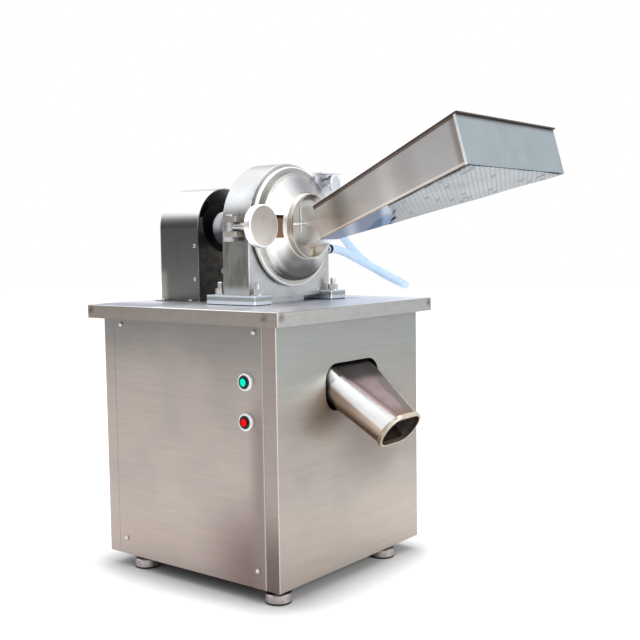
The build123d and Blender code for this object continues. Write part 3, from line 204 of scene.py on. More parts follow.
# World: levels of its light, and the cosines at which a side of it starts and is full
SIDE_DIRECTION = (-0.745, 0.667, 0.0)
SIDE_SPAN = (0.50, 0.88)
SIDE_TOP_SPAN = (0.14, 0.40)
UPPER_DIRECTION = (0.0, 0.67, 0.74)
UPPER_SPAN = (0.72, 0.93)
WORLD_LEVEL = 0.95
WORLD_SIDE_LEVEL = 0.26
WORLD_UPPER_LEVEL = 2.6
WORLD_TINT = (0.97, 0.98, 1.0, 1.0)

# Plain tones, and the point that both lights face
WHITE = (1.0, 1.0, 1.0, 1.0)
MIDDLE_GREY = (0.5, 0.5, 0.5, 1.0)
LIGHT_TARGET = Vector((0.0, 0.0, 0.6))

# Floor: its half width, and the soft shade under and around the cabinet
FLOOR_HALF = 12.0
SHADE_INSET = 0.02
SHADE_REACH = 0.12


def linear(red, green, blue):
    """A colour given as a screen value from 0 to 255, in the linear values that shaders take."""
    def one(value):
        share = value / 255
        return share / 12.92 if share <= 0.04045 else ((share + 0.055) / 1.055) ** 2.4
    return one(red), one(green), one(blue), 1.0


class Paint:
    """One material and short calls that add nodes to it."""

    def __init__(self, name, metallic=0.0, roughness=0.5):
        self.material = bpy.data.materials.new(name)
        self.material.use_nodes = True
        self.tree = self.material.node_tree
        self.shader = self.tree.nodes["Principled BSDF"]
        self.shader.inputs["Metallic"].default_value = metallic
        self.shader.inputs["Roughness"].default_value = roughness
        coordinates = self.tree.nodes.new("ShaderNodeTexCoord")
        self.place = coordinates.outputs["Object"]
        self.facing = coordinates.outputs["Normal"]

    def put(self, socket, value):
        if isinstance(value, bpy.types.NodeSocket):
            self.tree.links.new(value, socket)
        else:
            socket.default_value = value

    def set(self, name, value):
        self.put(self.shader.inputs[name], value)
        return self

    def math(self, operation, first, second=0.0, clamp=False):
        node = self.tree.nodes.new("ShaderNodeMath")
        node.operation = operation
        node.use_clamp = clamp
        self.put(node.inputs[0], first)
        self.put(node.inputs[1], second)
        return node.outputs[0]

    def times(self, first, *others):
        """Values multiplied together."""
        for other in others:
            first = self.math("MULTIPLY", first, other)
        return first

    def most(self, first, *others):
        """The largest of some values."""
        for other in others:
            first = self.math("MAXIMUM", first, other)
        return first

    def rest(self, value):
        """What a value leaves of 1."""
        return self.math("SUBTRACT", 1.0, value)

    def axis(self, name, vector=None):
        node = self.tree.nodes.new("ShaderNodeSeparateXYZ")
        self.put(node.inputs[0], self.place if vector is None else vector)
        return node.outputs[name]

    def point(self, x, y=0.0):
        """A vector made of two values."""
        node = self.tree.nodes.new("ShaderNodeCombineXYZ")
        self.put(node.inputs[0], x)
        self.put(node.inputs[1], y)
        return node.outputs[0]

    def vector(self, operation, first, second):
        node = self.tree.nodes.new("ShaderNodeVectorMath")
        node.operation = operation
        self.put(node.inputs[0], first)
        self.put(node.inputs[1], second)
        return node

    def stretch(self, scale, turn=(0.0, 0.0, 0.0)):
        node = self.tree.nodes.new("ShaderNodeMapping")
        self.put(node.inputs["Vector"], self.place)
        node.inputs["Scale"].default_value = scale
        node.inputs["Rotation"].default_value = turn
        return node.outputs[0]

    def noise(self, vector, scale, detail=3.0, rough=0.55):
        node = self.tree.nodes.new("ShaderNodeTexNoise")
        self.put(node.inputs["Vector"], vector)
        node.inputs["Scale"].default_value = scale
        node.inputs["Detail"].default_value = detail
        node.inputs["Roughness"].default_value = rough
        return node.outputs[0]

    def span(self, value, low, high, to_low=0.0, to_high=1.0, smooth=True):
        node = self.tree.nodes.new("ShaderNodeMapRange")
        node.interpolation_type = "SMOOTHSTEP" if smooth else "LINEAR"
        self.put(node.inputs[0], value)
        for index, setting in enumerate((low, high, to_low, to_high), start=1):
            node.inputs[index].default_value = setting
        return node.outputs[0]

    def mix(self, share, first, second, blend="MIX"):
        node = self.tree.nodes.new("ShaderNodeMix")
        node.data_type = "RGBA"
        node.blend_type = blend
        self.put(node.inputs[0], share)
        self.put(node.inputs[6], first)
        self.put(node.inputs[7], second)
        return node.outputs[2]

    def bump(self, height, strength, distance=0.001):
        node = self.tree.nodes.new("ShaderNodeBump")
        node.inputs["Strength"].default_value = strength
        node.inputs["Distance"].default_value = distance
        self.put(node.inputs["Height"], height)
        return node.outputs[0]

    def at(self, axis, low, high, to_low=0.0, to_high=1.0):
        """From 0 to 1 while the place along an axis goes from low to high."""
        return self.span(self.axis(axis), low, high, to_low, to_high)

    def faces(self, axis, low, high):
        """From 0 to 1 while a face's direction along an axis goes from low to high."""
        return self.span(self.axis(axis, self.facing), low, high)

    def near(self, centre, radius, core=0.0):
        """A soft round patch: 1 inside the core and 0 past the radius."""
        return self.span(self.vector("DISTANCE", self.place, centre).outputs["Value"], radius, core)

    def along(self, direction, start):
        """How far a point lies along a direction from a start."""
        offset = self.vector("SUBTRACT", self.place, start).outputs["Vector"]
        return self.vector("DOT_PRODUCT", offset, direction).outputs["Value"]

    def between(self, value, low, high, soft):
        """1 where a value lies between two others, 0 outside, with soft ends."""
        rise = self.span(value, low - soft, low + soft)
        fall = self.span(value, high + soft, high - soft)
        return self.times(rise, fall)

    def from_axis(self, x, z):
        """Distance from a line along Y through x and z."""
        off_x = self.math("SUBTRACT", self.axis("X"), x)
        off_z = self.math("SUBTRACT", self.axis("Z"), z)
        return self.math("SQRT", self.math("ADD", self.times(off_x, off_x), self.times(off_z, off_z)))

    def patchy(self, low, high, scale=1.0, grain=None, detail=3.0):
        """Patches of noise, even or along a grain: from 0 to 1 while the noise goes from low to high."""
        vector = self.place if grain is None else self.stretch(grain)
        return self.span(self.noise(vector, scale, detail), low, high)

    def mottle(self, noise, low, high, colour, cloud):
        """One colour that turns into another while a noise goes from low to high."""
        return self.mix(self.span(noise, low, high), linear(*colour), linear(*cloud))

    def over(self, tone, share, colour, strength=1.0):
        """A colour laid over a tone where a share says so, thinned by a strength."""
        if strength < 1.0:
            share = self.times(share, strength)
        return self.mix(share, tone, linear(*colour))

    def lay(self, share, colour, strength=1.0):
        """Lay a colour over the base colour that is there so far."""
        tone = self.shader.inputs["Base Color"].links[0].from_socket
        return self.set("Base Color", self.over(tone, share, colour, strength))


def shaded(paint, tone, lines, streak):
    """A tone with fine lines in it, lighter and darker by the streak's share."""
    shade = paint.span(lines, *LINE_SPAN, 1.0 - streak, 1.0 + streak, smooth=False)
    grey = paint.tree.nodes.new("ShaderNodeCombineColor")
    for index in range(3):
        paint.put(grey.inputs[index], shade)
    return paint.mix(1.0, tone, grey.outputs[0], blend="MULTIPLY")


def tinted(paint, tone, smudge, fades, sides):
    """A tone that changes along an axis of the machine, and on faces that look along an axis."""
    for axis, low, high, colour in fades:
        drift = paint.times(paint.math("SUBTRACT", smudge, 0.5), (high - low) * FADE_DRIFT)
        place = paint.math("ADD", paint.axis(axis), drift)
        tone = paint.over(tone, paint.span(place, low, high), colour)
    for axis, low, high, colour in sides:
        tone = paint.over(tone, paint.faces(axis, low, high), colour)
    return tone


def steel_finish(paint, tone, lines, smudge, roughness, streak, bump):
    """Fine lines in a steel's tone, gloss and surface, and clouds in its gloss."""
    paint.set("Base Color", shaded(paint, tone, lines, streak))
    wear = paint.math("ADD", paint.times(lines, LINE_WEAR), paint.times(smudge, CLOUD_WEAR))
    least = roughness - (LINE_WEAR + CLOUD_WEAR) / 2
    paint.set("Roughness", paint.math("ADD", wear, least, clamp=True))
    return paint.set("Normal", paint.bump(lines, bump))


def brushed_steel(name, colour, cloud, grain, roughness, streak, fades=(), sides=(), marks=None,
                  bump=0.04, cloud_scale=5.0, turn=(0.0, 0.0, 0.0)):
    """Brushed sheet: fine lines along the grain, soft clouds, fades along an axis and tints by facing.

    marks, if given, is a function that adds the piece's own marks to the tone.
    """
    paint = Paint(name, metallic=1.0)
    lines = paint.noise(paint.stretch(grain, turn), 1.0, detail=3.0, rough=0.6)
    smudge = paint.noise(paint.place, cloud_scale, detail=2.0, rough=0.5)
    tone = paint.mottle(smudge, *CLOUD_SPAN, colour, cloud)
    tone = tinted(paint, tone, smudge, fades, sides)
    if marks:
        tone = marks(paint, tone)
    return steel_finish(paint, tone, lines, smudge, roughness, streak, bump)


def turned_steel(name, colour, cloud, centre, roughness, fades=(), bands=(), marks=None):
    """Turned metal with rings about a line along Y, and bands of tone by distance from that line."""
    paint = Paint(name, metallic=1.0)
    distance = paint.from_axis(*centre)
    around = paint.point(paint.times(distance, RINGS_ACROSS), paint.times(paint.axis("Y"), RINGS_ALONG))
    rings = paint.noise(around, 1.0, detail=3.0)
    smudge = paint.noise(paint.place, TURNED_CLOUDS, detail=2.0, rough=0.5)
    tone = paint.mottle(smudge, *CLOUD_SPAN, colour, cloud)
    tone = tinted(paint, tone, smudge, fades, ())
    for low, high, other in bands:
        tone = paint.over(tone, paint.span(distance, low, high), other)
    if marks:
        tone = marks(paint, tone)
    return steel_finish(paint, tone, rings, smudge, roughness, TURNED_STREAK, TURNED_BUMP)


def mottled(paint, colour, cloud, roughness, spread, scale, detail, bump):
    """Fine mottling in a paint's colour, gloss and surface."""
    speck = paint.noise(paint.place, scale, detail=detail)
    paint.set("Base Color", paint.mottle(speck, *SPECK_SPAN, colour, cloud))
    gloss = paint.span(speck, *GLOSS_SPAN, roughness - spread, roughness + spread, smooth=False)
    paint.set("Roughness", gloss)
    return paint.set("Normal", paint.bump(speck, bump))


def plain_metal(name, colour, cloud, roughness, scale=60.0):
    """Small metal pieces."""
    return mottled(Paint(name, metallic=1.0), colour, cloud, roughness, spread=0.03, scale=scale,
                   detail=2.0, bump=0.01)


def plain_coat(name, colour, cloud, roughness, bump=0.05):
    """Paint, rubber or plastic: no metal."""
    return mottled(Paint(name), colour, cloud, roughness, spread=0.08, scale=90.0, detail=4.0, bump=bump)


def cabinet_side_steel():
    """Side sheet: grey under the table as painted shade, brown in its low front corner and beside the
    panel's edge, and a painted highlight along that edge.
    """
    # Painted shade under the table at the top; browner low down
    fades = [
        ("Z", 0.40, 0.53, (140, 136, 132)),
        ("Z", 0.26, 0.06, (168, 155, 148)),
    ]
    low_corner = CABINET_LOW + Vector((0.0, 0.06, 0.04))
    corner_reach = 0.19
    seam_y = (PANEL_EDGE_Y + 0.050, PANEL_EDGE_Y + 0.012)
    seam_z = (0.42, 0.34)
    edge_y = (PANEL_EDGE_Y + 0.004, PANEL_EDGE_Y + 0.002)

    def marks(paint, tone):
        tone = paint.over(tone, paint.near(low_corner, corner_reach), (120, 103, 100))
        seam = paint.times(paint.at("Y", *seam_y), paint.at("Z", *seam_z))
        tone = paint.over(tone, seam, (130, 117, 112), 0.8)
        # Painted highlight along the access panel's front edge
        return paint.over(tone, paint.at("Y", *edge_y), (174, 167, 162))

    return brushed_steel("cabinet_side_steel", (169, 159, 151), (161, 152, 145), GRAIN_LEVEL, 0.38, 0.06,
                         fades, marks=marks, bump=0.02, cloud_scale=6.0, turn=(radians(14), 0.0, 0.0))


def cabinet_front_steel():
    """Front sheet: painted light on the bent strip at its left edge with a painted highlight along the
    bend, painted shade low beside that bend, a painted shadow of the chute around it, and painted light
    from the floor low down.
    """
    # Greyer at the top under the table, and painted light from the floor lower down
    fades = [
        ("Z", 0.33, 0.47, (138, 140, 136)),
        ("Z", 0.26, 0.06, (163, 154, 146)),
    ]
    # Painted light on the bent strip that faces left
    sides = [(*LEFT_FACES, (152, 140, 134))]
    beside_chute = (-0.090, CABINET_LOW.y, 0.345)
    beside_reach = 0.085
    below_chute = (0.060, CABINET_LOW.y, 0.300)
    below_reach = (0.150, 0.030)
    low_z = (0.22, 0.07)
    bend_facing = (-0.85, -0.35, 0.1)

    def marks(paint, tone):
        # Painted shadow of the chute beside and below it
        tone = paint.over(tone, paint.near(beside_chute, beside_reach), (134, 122, 110))
        tone = paint.over(tone, paint.near(below_chute, *below_reach), (112, 104, 97), 0.8)
        # Painted shade low on the bent strip
        low = paint.times(paint.faces(*LEFT_FACES), paint.at("Z", *low_z))
        tone = paint.over(tone, low, (108, 95, 91))
        # Painted highlight along the bend
        bend = paint.between(paint.axis("X", paint.facing), *bend_facing)
        return paint.over(tone, bend, (190, 181, 176), 0.8)

    return brushed_steel("cabinet_front_steel", (137, 131, 125), (143, 136, 130), GRAIN_LEVEL, 0.38, 0.06,
                         fades, sides, marks, bump=0.02, cloud_scale=6.0, turn=(0.0, radians(24), 0.0))


def table_steel():
    """Table: bluish and pale patches of painted reflection and a dull patch with smears on top, painted
    shade on the lip's faces, a scuffed lip with dark corner welds, and reflections dimmed at its rear left
    as painted shade.
    """
    # Painted shade on the lip's faces that look left and forward
    sides = [(*LEFT_FACES, (153, 145, 137)), (*FRONT_FACES, (160, 160, 157))]
    # Bluish and pale patches of painted reflection, and a dull patch: place, radius, core, strength and
    # colour
    patches = [
        ((0.04, -0.15, TABLE_HIGH.z), 0.19, 0.06, 0.35, (156, 178, 206)),
        ((-0.20, -0.10, TABLE_HIGH.z), 0.21, 0.09, 0.75, (252, 252, 254)),
        ((0.150, -0.085, TABLE_HIGH.z), 0.075, 0.030, 0.8, (140, 146, 156)),
    ]
    smear_grain = (14.0, 40.0, 10.0)
    scuff_grain = (30.0, 30.0, 90.0)
    weld_z = TABLE_LOW.z + 0.017
    weld_inset = 0.012
    left_weld_inset = 0.032
    weld_reach = (0.013, 0.001)
    weld_scale = 140.0
    welds = [
        (TABLE_LOW.x, TABLE_LOW.y + left_weld_inset, weld_z),
        (TABLE_LOW.x + weld_inset, TABLE_LOW.y, weld_z),
        (TABLE_LOW.x, TABLE_HIGH.y - weld_inset, weld_z),
        (TABLE_HIGH.x - weld_inset, TABLE_LOW.y, weld_z),
    ]
    dim_x = (-0.12, -0.22)
    dim_y = (0.02, 0.11)
    dim_glance = (0.30, 0.31, 0.34, 1.0)

    def marks(paint, tone):
        level = paint.faces(*LEVEL_FACES)
        for place, radius, core, strength, colour in patches:
            patch = paint.times(paint.near(place, radius, core), level)
            tone = paint.over(tone, patch, colour, strength)
        smear = paint.times(paint.patchy(0.45, 0.65, grain=smear_grain, detail=2.0), level)
        tone = paint.over(tone, smear, (158, 168, 184), 0.25)
        scuff = paint.times(paint.patchy(0.48, 0.62, grain=scuff_grain), paint.rest(level))
        tone = paint.over(tone, scuff, (132, 127, 121), 0.16)
        for place in welds:
            burn = paint.span(paint.noise(paint.place, weld_scale), 0.3, 0.6, 0.4, 1.0)
            weld = paint.times(paint.near(place, *weld_reach), burn)
            tone = paint.over(tone, weld, (88, 74, 64), 0.8)
        return tone

    paint = brushed_steel("table_steel", (206, 208, 213), (194, 196, 200), GRAIN_ALONG_X, 0.36, 0.05,
                          (), sides, marks, bump=0.02)
    # Painted shade: reflections dimmed at the table's rear left
    rear_left = paint.times(paint.at("X", *dim_x), paint.at("Y", *dim_y, 0.25, 1.0))
    return paint.set("Specular Tint", paint.mix(rear_left, WHITE, dim_glance))


def housing_steel():
    """Ground sheet with painted shade by facing, stained and streaked on its flat left side, with a pale
    strip above the foot bars.
    """
    # Painted shade by facing: greyer on faces that look up, left and right
    sides = [
        ("Z", 0.25, 0.9, (150, 150, 150)),
        ("X", -0.94, -0.998, (142, 142, 138)),
        ("X", 0.6, 0.9, (150, 150, 148)),
    ]
    flat_left = ("X", -0.96, -0.99)
    run_grain = (60.0, 60.0, 14.0)
    foot_z = (BAR_TOP_Z + 0.022, BAR_TOP_Z + 0.004)

    def marks(paint, tone):
        flank = paint.faces(*flat_left)
        stain = paint.times(paint.patchy(0.46, 0.62, grain=run_grain), flank)
        tone = paint.over(tone, stain, (112, 108, 100), 0.65)
        return paint.over(tone, paint.times(paint.at("Z", *foot_z), flank), (196, 196, 196))

    return brushed_steel("housing_steel", (186, 187, 187), (170, 171, 172), GRAIN_GROUND, 0.33, 0.06,
                         (), sides, marks, cloud_scale=22.0)


def clevis_steel():
    """Cast steel, browner near the pin's foot."""
    pin_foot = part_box("hinge_clevis")[0] + Vector((0.03, 0.0, 0.012))
    brown_reach = 0.03

    def marks(paint, tone):
        return paint.over(tone, paint.near(pin_foot, brown_reach), (150, 112, 70))

    return brushed_steel("clevis_steel", (196, 192, 186), (170, 164, 156), GRAIN_CAST, 0.34, 0.05,
                         marks=marks, cloud_scale=40.0)


def ear_steel():
    """Latch ear: pale sheet, with painted shade along its upper edge."""
    paint = plain_metal("ear_steel", (226, 225, 229), (206, 206, 211), 0.36)
    # Painted shade on the faces that look up
    return paint.lay(paint.faces("Z", 0.5, 0.85), (96, 94, 94))


def guard_steel():
    """Belt guard: smooth bent sheet with painted shade on its left faces, a pale patch low at its rear,
    and less metallic inside.
    """
    # Painted shade on the faces that look left
    sides = [("X", -0.93, -0.996, (118, 118, 114))]
    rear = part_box("belt_guard")[1].y
    patch_y = (rear - 0.026, rear - 0.008)
    patch_z = (0.636, 0.612)

    def marks(paint, tone):
        patch = paint.times(paint.at("Y", *patch_y), paint.at("Z", *patch_z))
        return paint.over(tone, patch, (178, 174, 168), 0.8)

    paint = brushed_steel("guard_steel", (190, 190, 190), (174, 174, 174), GRAIN_UPRIGHT, 0.21, 0.08,
                          (), sides, marks, bump=0.02)
    inside = paint.most(paint.faces("X", 0.1, 0.4), paint.faces("Z", -0.1, -0.4))
    return paint.set("Metallic", paint.rest(paint.times(inside, 0.8)))


def plate_steel():
    """Dark plate behind the guard's edge: brown smudges, and a paler patch of painted light at its upper
    left.
    """
    paint = plain_metal("plate_steel", (82, 80, 76), (66, 64, 60), 0.36)
    paint.lay(paint.patchy(0.5, 0.7, 24.0, detail=2.0), (104, 88, 74), 0.5)
    # Painted light: a paler patch at the upper left
    upper_left = (-0.055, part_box("guard_front_plate")[0].y, MILL_AXIS_Z + 0.056)
    pale_reach = (0.040, 0.020)
    return paint.lay(paint.near(upper_left, *pale_reach), (200, 195, 186))


def bar_steel():
    """Foot bars: bright, with painted light and shade by facing and a grey band in the upper half of their
    upright faces.
    """
    # Painted light and shade by facing: bluish on faces that look left, greyer on faces that look forward
    sides = [(*LEFT_FACES, (240, 246, 253)), (*FRONT_FACES, (196, 204, 212))]
    band_z = (BAR_TOP_Z - 0.011, BAR_TOP_Z - 0.003, 0.0015)

    def marks(paint, tone):
        upright = paint.span(paint.math("ABSOLUTE", paint.axis("Z", paint.facing)), 0.5, 0.2)
        band = paint.times(paint.between(paint.axis("Z"), *band_z), upright)
        return paint.over(tone, band, (128, 128, 122), 0.7)

    return brushed_steel("bar_steel", (238, 241, 243), (220, 223, 226), GRAIN_UPRIGHT, 0.38, 0.04,
                         (), sides, marks)


def trough_steel():
    """Cool on the end wall and dark on the polished underside, both painted shade by facing, with a
    painted shadow line under the rim and a painted highlight along the lower edge.
    """
    # Painted shade by facing: cooler on the end wall, darker and bluer on the underside
    sides = [("Y", -0.7, -0.95, (158, 168, 174)), (*UNDER_FACES, (80, 87, 100))]
    fades = [("Y", -0.24, -0.40, (192, 188, 187))]
    rim_line = (0.003, 0.008, 0.0015)
    rim_on_side = (0.0034, 0.0028)
    rim_from_below = (0.010, 0.006)
    end_shade = (0.012, 0.003)
    lower_edge = (0.002, 0.006, 0.001)
    lower_hem = (0.0020, 0.0012)
    end_corner = (TROUGH_LENGTH - 0.006, TROUGH_LENGTH + 0.004, 0.001)
    gleam_slant = 0.7
    bright_gleam = (0.138, 0.160, 0.008)
    faint_gleam = (0.050, 0.070, 0.015)
    dim_glance = (0.44, 0.48, 0.56, 1.0)
    gleam_glance = (0.90, 0.95, 1.0, 1.0)

    def marks(paint, tone):
        height = paint.along(TROUGH_UPWARD, TROUGH_START)
        reach = paint.along(TROUGH_FORWARD, TROUGH_START)
        rim_height = paint.math("ADD", paint.times(reach, TROUGH_WALL_RISE / TROUGH_LENGTH), TROUGH_WALL)
        below_rim = paint.math("SUBTRACT", rim_height, height)
        flank = paint.span(paint.math("ABSOLUTE", paint.axis("X", paint.facing)), 0.5, 0.8)
        end = paint.faces("Y", -0.7, -0.9)
        for low, high, soft, strength, colour in TROUGH_SIDE_BANDS:
            smudge = paint.times(paint.between(reach, low, high, soft), flank)
            tone = paint.over(tone, smudge, colour, strength)
        # Painted shadow of the rim's lip: a dark line just below it
        line = paint.times(paint.between(below_rim, *rim_line), flank)
        tone = paint.over(tone, line, (96, 78, 64), 0.85)
        # Painted highlight along the lower edge of the sides
        edge = paint.times(paint.between(height, *lower_edge), flank)
        tone = paint.over(tone, edge, (250, 248, 244), 0.6)
        hem = paint.times(paint.span(height, *lower_hem), flank)
        tone = paint.over(tone, hem, (176, 140, 112), 0.9)
        # Painted highlight on the corner where a side meets the end wall
        corner = paint.times(paint.between(reach, *end_corner), flank)
        tone = paint.over(tone, corner, (255, 254, 252), 0.9)
        shade = paint.times(paint.span(below_rim, *end_shade), end)
        tone = paint.over(tone, shade, (84, 74, 66), 0.75)
        # Painted shade just under the rim and on its underside
        rim_side = paint.times(paint.span(below_rim, *rim_on_side), paint.most(flank, end))
        rim_under = paint.times(paint.span(below_rim, *rim_from_below), paint.faces(*UNDER_FACES))
        return paint.over(tone, paint.most(rim_side, rim_under), (88, 72, 60))

    paint = brushed_steel("trough_steel", (194, 189, 184), (160, 155, 149), GRAIN_TROUGH, 0.35, 0.05,
                          fades, sides, marks, bump=0.0, cloud_scale=8.0)
    under = paint.faces(*UNDER_FACES)
    worn = paint.shader.inputs["Roughness"].links[0].from_socket
    paint.set("Roughness", paint.times(worn, paint.rest(paint.times(under, 0.8))))
    # Painted reflections on the polished underside: bright streaks in its gloss, dimmer elsewhere
    slanted = paint.math("ADD", paint.along(TROUGH_FORWARD, TROUGH_START),
                         paint.times(paint.axis("X"), gleam_slant))
    gleam = paint.most(paint.between(slanted, *bright_gleam),
                       paint.times(paint.between(slanted, *faint_gleam), 0.7))
    glance = paint.mix(gleam, dim_glance, gleam_glance)
    return paint.set("Specular Tint", paint.mix(under, WHITE, glance))


def spout_steel():
    """Bare welded sheet, pale, with painted highlights along its edges and spice dust low down."""
    dust_z = (SPOUT_LOW.z + 0.022, SPOUT_LOW.z + 0.004)
    dust_scale = 120.0
    lower_edge = (0.006, 0.004)
    upper_edge_z = (SPOUT_HIGH.z - 0.005, SPOUT_HIGH.z - 0.003)
    front_edge_y = (TROUGH_START.y + 0.004, TROUGH_START.y + 0.002)

    def marks(paint, tone):
        dust = paint.times(paint.at("Z", *dust_z), paint.patchy(0.35, 0.6, dust_scale))
        tone = paint.over(tone, dust, (196, 168, 96), 0.7)
        # Painted highlights along the spout's lower, upper and front edges
        lower = paint.span(paint.along(TROUGH_UPWARD, TROUGH_START), *lower_edge)
        edge = paint.most(lower, paint.at("Z", *upper_edge_z), paint.at("Y", *front_edge_y))
        return paint.over(tone, edge, (255, 254, 252), 0.9)

    return brushed_steel("spout_steel", (246, 243, 239), (228, 224, 219), GRAIN_CAST, 0.36, 0.04,
                         marks=marks, bump=0.02, cloud_scale=30.0)


def chute_steel():
    """Polished round-cornered duct with painted reflection and shade by facing: rosy on top, white
    highlights on the corners, brown shade on the low sides, a painted shadow by the cabinet's hole, and a
    cream rim darker on its low faces.
    """
    # Painted reflection and shade by facing: rosy on top, white on the upper corners, beige on the sides
    # and brown on faces that look down
    sides = [
        ("Z", 0.68, 0.76, (158, 137, 140)),
        ("Z", 0.14, -0.12, (172, 155, 140)),
        ("Z", -0.22, -0.55, (112, 91, 76)),
    ]
    top_faces = ("Z", 0.72, 0.80)
    low_faces = ("Z", 0.1, -0.5)
    blotch_scale = 30.0
    border_grain = (60.0, 24.0, 24.0)
    border_drift = 0.9
    # Start and end across the top, strength and colour
    borders = [(-0.45, -0.85, 0.75, (122, 104, 96)), (0.25, 0.60, 0.80, (116, 108, 104))]
    mouth_reach = (0.095, 0.125)
    inner_reach = (0.030, 0.006)
    rim_reach = (CHUTE_RIM_START - 0.001, CHUTE_RIM_START + 0.001)

    def marks(paint, tone):
        blotch = paint.patchy(0.45, 0.65, blotch_scale, detail=2.0)
        top = paint.faces(*top_faces)
        tone = paint.over(tone, paint.times(blotch, top), (136, 120, 120), 0.6)
        reach = paint.along(CHUTE_OUTWARD, CHUTE_START)
        half = paint.math("SUBTRACT", CHUTE_TOP_HALF, paint.times(reach, CHUTE_TOP_TAPER))
        waver = paint.math("SUBTRACT", paint.noise(paint.stretch(border_grain), 1.0), 0.5)
        across = paint.math("DIVIDE", paint.axis("X"), half)
        across = paint.math("ADD", across, paint.times(waver, border_drift))
        for low, high, strength, colour in borders:
            border = paint.times(paint.span(across, low, high), top)
            tone = paint.over(tone, border, colour, strength)
        mouth = paint.times(paint.span(reach, *mouth_reach), blotch, top)
        tone = paint.over(tone, mouth, (136, 104, 84), 0.7)
        # Painted shadow on the top where the chute leaves the cabinet's hole
        inner = paint.times(paint.span(reach, *inner_reach), top)
        tone = paint.over(tone, inner, (56, 52, 50), 0.85)
        # Painted shade on the rim's low faces
        cream = paint.mix(paint.faces(*low_faces), linear(206, 196, 179), linear(150, 134, 116))
        return paint.mix(paint.span(reach, *rim_reach), tone, cream)

    return brushed_steel("chute_steel", (255, 255, 253), (246, 244, 241), GRAIN_POLISHED, 0.34, 0.03,
                         (), sides, marks, bump=0.0, cloud_scale=18.0)


def door_point(x, y, rise):
    """A point of the door, its height counted from the mill's axis."""
    return x, y, MILL_AXIS_Z + rise


def cone_rays(paint, tone):
    """Painted sheen: lighter and darker streaks that run down the cone from the mill's axis."""
    turn = paint.math("ARCTAN2", paint.math("SUBTRACT", paint.axis("Z"), MILL_AXIS_Z), paint.axis("X"))
    rays = paint.noise(paint.point(paint.times(turn, CONE_RAYS)), 1.0, detail=4.0, rough=0.6)
    slant = paint.between(paint.axis("Y", paint.facing), *CONE_FACING)
    return shaded(paint, tone, paint.mix(slant, MIDDLE_GREY, rays), CONE_RAY_STREAK)


def flange_marks(paint, tone, distance):
    """Painted shadow of the gap behind the flange, painted shade on its low step, and painted light and a
    painted highlight at its lower left.
    """
    gap_shadow_fade_z = (MILL_AXIS_Z + 0.010, MILL_AXIS_Z + 0.070)
    step_z = (MILL_AXIS_Z - 0.070, MILL_AXIS_Z - 0.090)
    lower_left = door_point(-0.088, -0.098, -0.060)
    bright_reach = (0.062, 0.030)
    # Painted shadow of the gap behind the flange, weaker higher up
    gap_shadow = paint.times(paint.span(distance, *DOOR_GAP_SHADOW), paint.at("Y", *DOOR_GAP_SHADOW_Y))
    tone = paint.over(tone, paint.times(gap_shadow, paint.at("Z", *gap_shadow_fade_z, 1.0, 0.35)), (66, 63, 60))
    # Painted shade on the low step
    low_step = paint.times(paint.between(distance, *DOOR_STEP), paint.at("Z", *step_z))
    tone = paint.over(tone, low_step, (92, 88, 82))
    # Painted highlight on the cone's outer edge and painted light on the flange's face, at lower left
    left = paint.near(lower_left, *bright_reach)
    gleam = paint.times(paint.between(distance, *CONE_EDGE), left)
    tone = paint.over(tone, gleam, (255, 253, 248), 0.32)
    face = paint.times(paint.between(distance, *DOOR_FACE), left)
    return paint.over(tone, face, (236, 234, 229), 0.55)


def collar_ring(paint, distance):
    """The collar's front edge."""
    return paint.times(paint.between(distance, *COLLAR_RING), paint.at("Y", *COLLAR_RING_Y))


def collar_marks(paint, tone, distance):
    """Shade inside the collar's top, spice dust at its foot, and its pale front edge."""
    top = door_point(0.002, -0.133, 0.060)
    top_reach = (0.032, 0.012)
    foot = door_point(0.0136, -0.133, -0.050)
    dust_reach = (0.026, 0.006)
    dust_grain = (90.0, 90.0, 30.0)
    recess = paint.times(paint.between(distance, *COLLAR_RECESS), paint.near(top, *top_reach))
    tone = paint.over(tone, recess, (104, 98, 92))
    dust = paint.times(paint.near(foot, *dust_reach), paint.patchy(0.3, 0.7, grain=dust_grain, detail=2.0))
    tone = paint.over(tone, dust, (132, 104, 46))
    return paint.over(tone, collar_ring(paint, distance), (206, 200, 190))


def lug_marks(paint, tone):
    """Painted shade on the hinge lug's flat faces: brown, nearly black along its top where the nut's
    shadow falls.
    """
    lug_x = (-0.060, -0.064)
    lug_y = (-0.109, -0.112)
    lug_z = (MILL_AXIS_Z - 0.024, MILL_AXIS_Z + 0.0225, 0.0008)
    top_z = (MILL_AXIS_Z + 0.013, MILL_AXIS_Z + 0.019)
    lug = paint.times(paint.at("X", *lug_x), paint.at("Y", *lug_y))
    level = paint.between(paint.axis("Z"), *lug_z)
    flat = paint.most(paint.faces("Y", -0.93, -0.98), paint.faces("Z", 0.93, 0.98))
    brown = paint.mix(paint.at("Z", *top_z), linear(146, 118, 98), linear(36, 30, 27))
    return paint.mix(paint.times(lug, level, flat), tone, brown)


